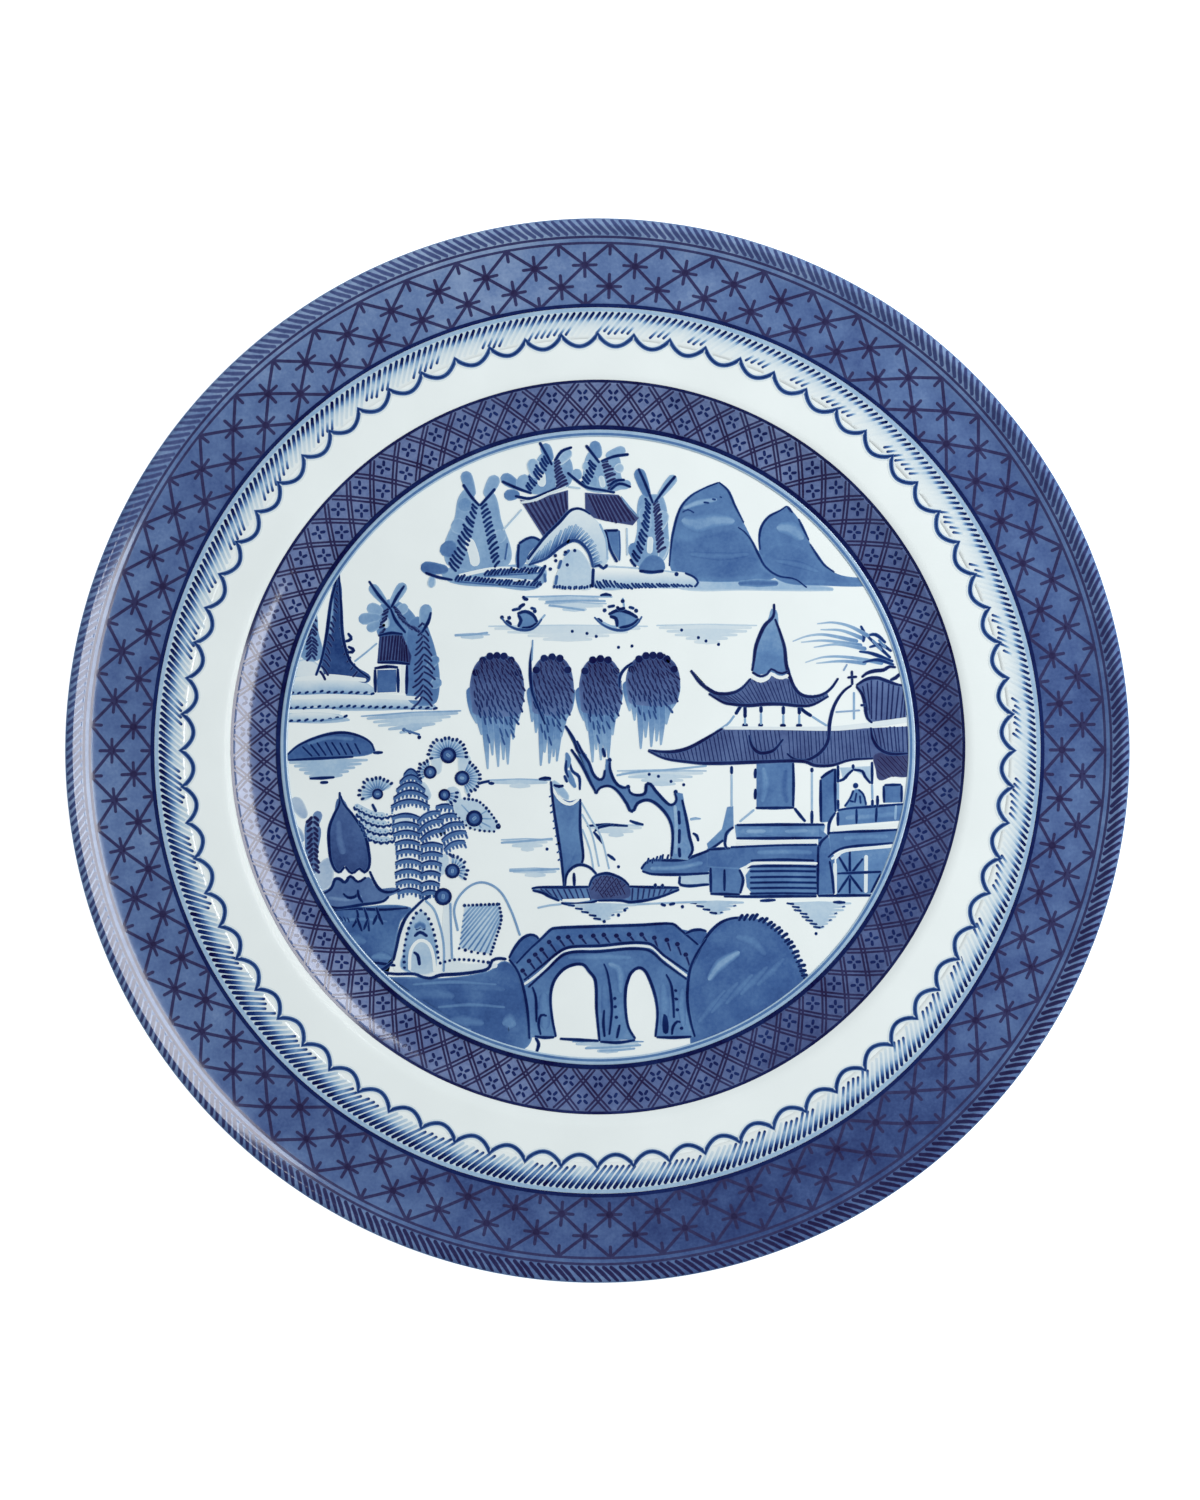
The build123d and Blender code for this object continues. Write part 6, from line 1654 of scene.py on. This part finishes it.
def footbridge(material):
    ink = Scene(layer=2)
    ink.wash([(-21, -50.4), (-19.2, -51), (-16, -47.5), (-13, -44.8), (-10.8, -42.7), (0, -42.2),
              (10, -41.9), (17.8, -41.7), (19.5, -42.8), (24, -46.6), (26, -44.8), (24, -48), (22.3, -51.5),
              (21.6, -55), (21.4, -60), (22.2, -65), (23.2, -68.5), (14, -68.5), (14.3, -63), (13.6, -58),
              (12.5, -55), (11.2, -52.6), (9.7, -52), (8, -53.2), (7, -55.5), (6.7, -60), (7.2, -65),
              (9, -69), (0.6, -69.4), (0, -62), (-0.5, -55), (-2, -52.8), (-3.5, -51.2), (-6.5, -51.5),
              (-8.8, -53), (-10.5, -55.5), (-11.2, -59), (-10.8, -64), (-9.9, -68.5), (-16.2, -68.6),
              (-16.5, -64), (-17, -60), (-18, -55.5), (-19.2, -52.5)],
             lambda x, y: 0.62 + 0.06 * np.clip((y + 55) / 8, -1, 1), 0.3, edge=0.58, straight=True)
    ink.wash([(-21, -50), (-20, -47.9), (-18, -45.3), (-16, -44.3), (-14.4, -44.8), (-13.6, -45.6),
              (-16, -47.6), (-19.2, -51)], 0.72, 0.3)
    ink.wash([(19.6, -43.2), (22.5, -43.3), (24.5, -43.1), (26, -43.6), (25.6, -45.2), (24, -46.6)], 0.70,
             0.3)
    ink.layer = 3
    for path, size, tone in (([(-12.8, -58), (-12.6, -62), (-12.4, -66.6)], 3.2, 0.56),
            ([(2.6, -51), (5.2, -52.6), (5.6, -58)], 2.4, 0.52),
            ([(1.6, -56), (2, -62), (2, -67)], 2.2, 0.60),
            ([(15.6, -56), (16, -61), (15.6, -66)], 2.6, 0.56),
            ([(20.2, -57), (20, -61), (20.4, -66)], 2.0, 0.55),
            ([(-7, -49.6), (0, -49.4), (8, -49.6)], 1.6, 0.58)):
        ink.brush(path, (0.6 * size, size, 0.6 * size), tone, 0.64)
    ink.warm = 0.25
    for shift, place in (((1.8, -2.4),
            [(-17.8, -52.8), (-16.3, -50.5), (-14.8, -49), (-13.3, -47.8), (-11.5, -46), (-9.3, -45),
             (-7, -44.8), (-4, -44.7), (-1, -44.5), (1.5, -44.3), (4.5, -44.5), (7.5, -44.2),
             (10.5, -44.2)]), ((0.9, -2.6), [(13.5, -45), (16.5, -45.5), (19, -46.5), (21, -49)])):
        for x, y in place:
            ink.line([(x, y), (x + shift[0] / 2, y + shift[1] / 2 + 0.1), (x + shift[0], y + shift[1])],
                     (0.7, 0.6, 0.5), 0.93)
            ink.dot(x, y + 0.1, 1.15, 0.95)
    ink.warm = 0.0
    ink.layer = 4
    ink.line([(-17.5, -56), (-15, -54.2), (-12, -51.6), (-9, -48.6), (-7, -47.8), (0, -47.4), (12.2, -47),
              (16, -50), (21.3, -54)], 0.55, 0.08)
    ink.layer = 5
    ink.lines([(-21, -50), (-19.2, -52.5), (-18, -55.5), (-17, -60), (-16.5, -64), (-16.2, -69)],
              [(-21, -49.8), (-20, -47.8), (-18, -45.2), (-16, -44.2), (-14.5, -44.6), (-14, -45.4)],
              [(-19.3, -51), (-16, -47.5), (-13, -44.8), (-11.5, -43.3), (-10.6, -42.7), (-6, -42.4),
               (0, -42.2), (10, -41.9), (17.8, -41.6), (19.5, -42.8), (24, -46.6)],
              [(20.8, -44), (22.5, -43.2), (24.5, -43), (26, -43.4)],
              [(26, -45), (24, -48), (22.3, -51.5), (21.6, -55), (21.4, -60), (22.2, -65), (23.2, -68.5)],
              [(-17.5, -55), (-13, -51.3), (-8.5, -47.8), (-6, -47), (0, -46.8), (12, -46.2), (16, -49.2),
               (21.5, -53)], [(-16.5, -56.7), (-12, -52.5), (-7.5, -48.7), (0, -48.2), (11.5, -47.7),
              (16, -51), (21.3, -54.8)], [(-9.9, -68.5), (-10.8, -64), (-11.2, -59), (-10.5, -55.5),
              (-8.8, -53), (-6.5, -51.5), (-3.5, -51.2), (-2, -52.8), (-0.5, -55), (-0.2, -62),
              (0.5, -69.5)], [(9, -69), (7.3, -66), (6.6, -61), (6.7, -57), (7.2, -55), (8, -53.2),
              (9.7, -52), (11.2, -52.6), (12.5, -55), (13.8, -59), (14.3, -63), (13.8, -68.5)],
              width=(0.6, 0.8, 0.8, 0.6), density=0.93)
    ink.lines([(1.5, -51), (2.3, -53), (3, -57), (3.4, -62), (2.8, -68)],
              [(1.6, -62), (1.4, -65), (1.7, -68.5)], [(5.3, -65.5), (4.6, -68.8)],
              [(-15.5, -56.5), (-14.7, -59), (-14.5, -65)],
              [(-13.5, -68), (-14, -65.5), (-13.4, -63.3), (-12, -63.5)],
              [(-15, -68.3), (-12.6, -68.6), (-10.2, -68.5)],
              [(16.3, -53.5), (17.5, -56), (18, -60), (18.2, -64)], [(18.2, -57.3), (19, -57.6)],
              [(18.2, -59.3), (19.2, -59.6)], [(17.7, -68), (18, -66), (19, -64.8), (19.8, -65)],
              [(14, -68.5), (18, -68.6), (22.4, -68.4)], [(-9, -68.9), (-4, -69.2), (0.4, -69.4)],
              [(0.6, -69.6), (5, -69.8), (9, -69.2)], width=(0.55, 0.8, 0.6), density=0.92)
    ink.wash([(15.7, -63), (16.6, -63.6), (16.8, -67.6), (15.6, -67.4)], 0.9, 0.2)
    ink.dots((4.1, -59.3), (4.2, -61.3), (4.5, -63.8), (19, -62), (20, -66.4), size=0.85)
    ink.piece("footbridge_strokes", "footbridge", "bank_blue", material)


def river_banks(material):
    ink = Scene()
    ink.wash([(-64, -38), (-58, -37.6), (-44.5, -37.6), (-46.8, -41), (-48, -46), (-49, -51.4),
              (-52, -53.4), (-44, -54.2), (-36, -54.4), (-26, -52.8), (-22, -50.4), (-18.4, -54),
              (-16.6, -62), (-16, -70), (-22, -72), (-40, -64), (-55, -51)],
             lambda x, y: 0.67 + 0.05 * np.sin(0.35 * x + 0.2 * y), 0.4, edge=0.5)
    ink.wash([(21.8, -53), (24, -48), (27, -43.6), (29, -41.6), (32, -40.4), (36, -40.2), (40, -41),
              (43, -43.5), (46, -47), (47.7, -50.5), (49.6, -55), (44, -60), (34, -67), (23, -71),
              (22.4, -65), (21.6, -60)], lambda x, y: 0.68 + 0.03 * np.sin(0.5 * x), 0.4, edge=0.55)
    ink.layer = 1
    for x, y, reach, size, tone in ((-58, -45.6, 3.0, 3.4, 0.61), (-51.4, -49.6, 2.4, 2.6, 0.55),
            (-40, -58.6, 6, 3.2, 0.63), (-26, -57, 4, 2.4, 0.64), (-21, -65.4, 1.6, 4.6, 0.55),
            (-32, -65, 5, 2.8, 0.62), (-36, -66.6, 6, 1.6, 0.56), (-47, -58.4, 3, 2.0, 0.60)):
        ink.brush([(x - reach, y), (x, y + 0.4), (x + reach, y - 0.2)], (0.5 * size, size, 0.5 * size),
                  tone, 0.69)
    for k, x in enumerate((24, 27, 30.5, 34, 38)):
        ink.brush([(x, -65 + 2.2 * k), (x + 6.4, -57.4 + 1.9 * k)], (0.9, 1.8, 0.9), 0.615, 0.67)
    ink.brush([(26.4, -55), (29, -51.4), (33.8, -48.2)], (1.4, 3.0, 1.6), 0.46, 0.67)
    ink.brush([(33, -44.6), (37, -45.8), (40, -49)], (1.4, 2.2, 1.4), 0.61, 0.67)
    ink.layer = 2
    for y, x_left, x_right in ((-41, -62, -50), (-56, -44, -24), (-61.4, -38, -22)):
        ink.brush([(x_left, y), ((x_left + x_right) / 2, y + 0.6), (x_right, y)], (0.6, 1.0, 0.6), 0.58,
                  0.66)
    ink.lines([(-64, -38.3), (-58, -38), (-51, -38.2), (-45, -37.8)],
              [(-55, -50.7), (-51.4, -51), (-48, -51.5)],
              [(-14.8, -68.6), (-14, -70), (-14.2, -71.2), (-14.6, -72.4)],
              [(21.8, -53), (24, -48.4), (26, -44.6), (29, -41.5), (32, -40.3), (35.6, -40.1)],
              [(47.7, -50.5), (48.6, -53), (49.4, -55)], width=(0.6, 0.85, 0.6), density=0.93)
    ink.dabs([(33.6, -41), (38, -41), (42, -43.4), (45.2, -47), (47, -50.5), (48.4, -54)], 20, 1.9, (58, 6),
             0.8, 0.92, 0.04)
    ink.piece("river_bank_strokes", "river_banks", "bank_blue", material)


def water_ripples(material):
    ink = Scene()
    for x_left, x_right, y, depth, tone in ((-17.4, 3.6, 36.2, 1.2, 0.26), (-12.6, 2.2, 34.6, 1.8, 0.22),
            (-26, 12, 29.2, 3.6, 0.15), (14, 38, 29.4, 4.4, 0.15), (-26, -11, -7.4, 1.6, 0.26),
            (-23, -10.6, -21.6, 2.2, 0.22), (-2.6, 11, -18.2, 2.6, 0.20), (4.6, 26, -5.2, 3.4, 0.22),
            (-21, -9, -28.6, 1.6, 0.24), (-6, 11, -69.6, 2.6, 0.32), (-34, -25.6, 27.2, 0.8, 0.22),
            (22, 24.6, -16.6, 0.9, 0.3)):
        ink.ripple(x_left, x_right, y, depth, tone)
    for x_left, x_right, y, depth in ((21.3, 35.5, -36.6, 3.2), (45.1, 60.4, -36.8, 6.4)):
        ink.reflection(x_left, x_right, y, depth)
    ink.layer = 1
    ink.lines([(0.6, 36.5), (2, 36.8), (3.4, 36.5)], [(-26, -8.1), (-24.5, -8.2)],
              [(-14, -7.2), (-11, -7.1)], [(-2.5, -18.3), (2, -18), (7.3, -18.3)],
              [(-0.7, -19.6), (0.5, -18.6), (4, -17.9)], [(-1, -19.6), (0.2, -21), (1.3, -22.5)],
              [(7.6, -17), (9.2, -17.6), (11, -18)], [(2.3, -25), (3.4, -25.8), (4.3, -26.5)],
              [(38.6, -36.1), (42.4, -35.9)], [(56, -36.4), (59, -36.5)],
              [(22.6, -20), (23.6, -20.6), (24, -22)], [(-29, 42), (-26, 41.8)], width=(0.5, 0.8, 0.5),
              density=0.91)
    ink.lines([(-12.4, 35), (-5, 35.3), (2, 35.2)], [(-11.6, 34.2), (-7, 33.6), (-3, 33)],
              [(-34, 27), (-30, 27.2), (-26, 27.7)], [(-23, -22.3), (-16, -21.8), (-10.6, -21.3)],
              [(-21, -29), (-15, -28.8), (-9, -28.5)], [(22, -16.8), (24, -16.5)],
              [(4.5, -6.3), (9, -5.5), (16, -5), (26, -4)], [(-3, -71.2), (4, -70.9), (10.4, -70.4)],
              [(0.4, -71.8), (5, -71.6), (9, -71.2)], width=0.45, density=0.42)
    ink.dots((-6, 28), (-2.5, 27.5), (-0.3, 26.8), (20, 28.3), (24, 26.5), (25.8, 25.7), (28.8, 24.9),
             (5, 24.2), (8.2, 24.5), (-12, -23.8), (5, -28), (12.3, -6), (14.5, -6.5), (17.5, -7.7),
             (20.5, -8.5), (52, -43.9), size=0.75)
    ink.piece("ripple_strokes", "water_ripples", "pale_wash", material)


# --- studio -------------------------------------------------------------------------------
WORLD_COLOUR, WORLD_STRENGTH = (0.97, 0.985, 1.0, 1), 0.573
PAPER_HALF, PAPER_COLOUR, PAPER_GLOW = 3.0, (0.9, 0.9, 0.9, 1), 0.5
LENS, SENSOR = 135.0, 36.0                      # millimetres
CAMERA_AT = (0.0006, 0.00012, 1.3608)           # metres

def area_light(name, where, target, size, power, highlights):
    """A soft panel that either lights the plate or only shows as a highlight on it."""
    lamp = bpy.data.lights.new(name, "AREA")
    lamp.shape, (lamp.size, lamp.size_y), lamp.energy = "RECTANGLE", size, power
    made = bpy.data.objects.new(name, lamp)
    made.location = where
    look = Vector(target) - made.location
    made.rotation_euler = look.to_track_quat("-Z", "Y").to_euler()
    made.visible_glossy, made.visible_diffuse = highlights, not highlights
    bpy.context.scene.collection.objects.link(made)


def studio():
    """Even light from a white world, a glowing white paper below, and the two panels."""
    scene = bpy.context.scene
    scene.view_settings.view_transform = "Standard"
    world = bpy.data.worlds.new("soft_white")
    world.use_nodes = True
    background = world.node_tree.nodes["Background"]
    background.inputs["Color"].default_value = WORLD_COLOUR
    background.inputs["Strength"].default_value = WORLD_STRENGTH
    world.cycles_visibility.glossy = False
    scene.world = world

    floor_mesh = bpy.data.meshes.new("floor")
    corners = [(x * PAPER_HALF, y * PAPER_HALF, 0) for x, y in ((-1, -1), (1, -1), (1, 1), (-1, 1))]
    floor_mesh.from_pydata(corners, [], [(0, 1, 2, 3)])
    floor = bpy.data.objects.new("floor", floor_mesh)
    scene.collection.objects.link(floor)
    paper = Nodes("white_paper", 0.9)
    paper.put("Specular IOR Level", PAPER_SPECULAR)
    paper.put("Base Color", PAPER_COLOUR)
    paper.put("Emission Color", (1, 1, 1, 1))
    paper.put("Emission Strength", PAPER_GLOW)
    floor_mesh.materials.append(paper.material)

    area_light("key_panel", where=(0.30, 0.15, 0.40), target=(0.0, 0.0, 0.01), size=(0.30, 0.30),
               power=1.8, highlights=False)
    area_light("highlight_panel", where=(0.583, 0.156, 0.59), target=(-0.08, -0.02, 0.01),
               size=(0.84, 0.42), power=10.5, highlights=True)


def camera():
    """Looks straight down from far off with a long lens."""
    lens = bpy.data.cameras.new("camera")
    lens.lens, lens.sensor_width, lens.sensor_fit = LENS, SENSOR, "AUTO"
    made = bpy.data.objects.new("camera", lens)
    made.location = CAMERA_AT
    bpy.context.scene.collection.objects.link(made)
    bpy.context.scene.camera = made


def main():
    plate()
    print_blue = ink_material("border_cobalt", mottle=0.07, grain=0.05)
    rim_ground(ink_material("rim_ground_cobalt", mottle=0.12, grain=0.06))
    rope_edge(print_blue)
    star_lattice(print_blue)
    rain_cloud(print_blue)
    scallops(print_blue)
    diaper(ink_material("trellis_cobalt", mottle=0.10, grain=0.06))
    well_lines(print_blue)
    brushed = ink_material("brushed_cobalt", mottle=0.10, grain=0.05)
    for draw in (mountains, far_island, fishing_boats, willow_tree, teahouse, sailing_boat, west_island,
                 small_islet, garden_hut, flower_garden, footbridge, river_banks, water_ripples):
        draw(brushed)
    studio()
    camera()


main()
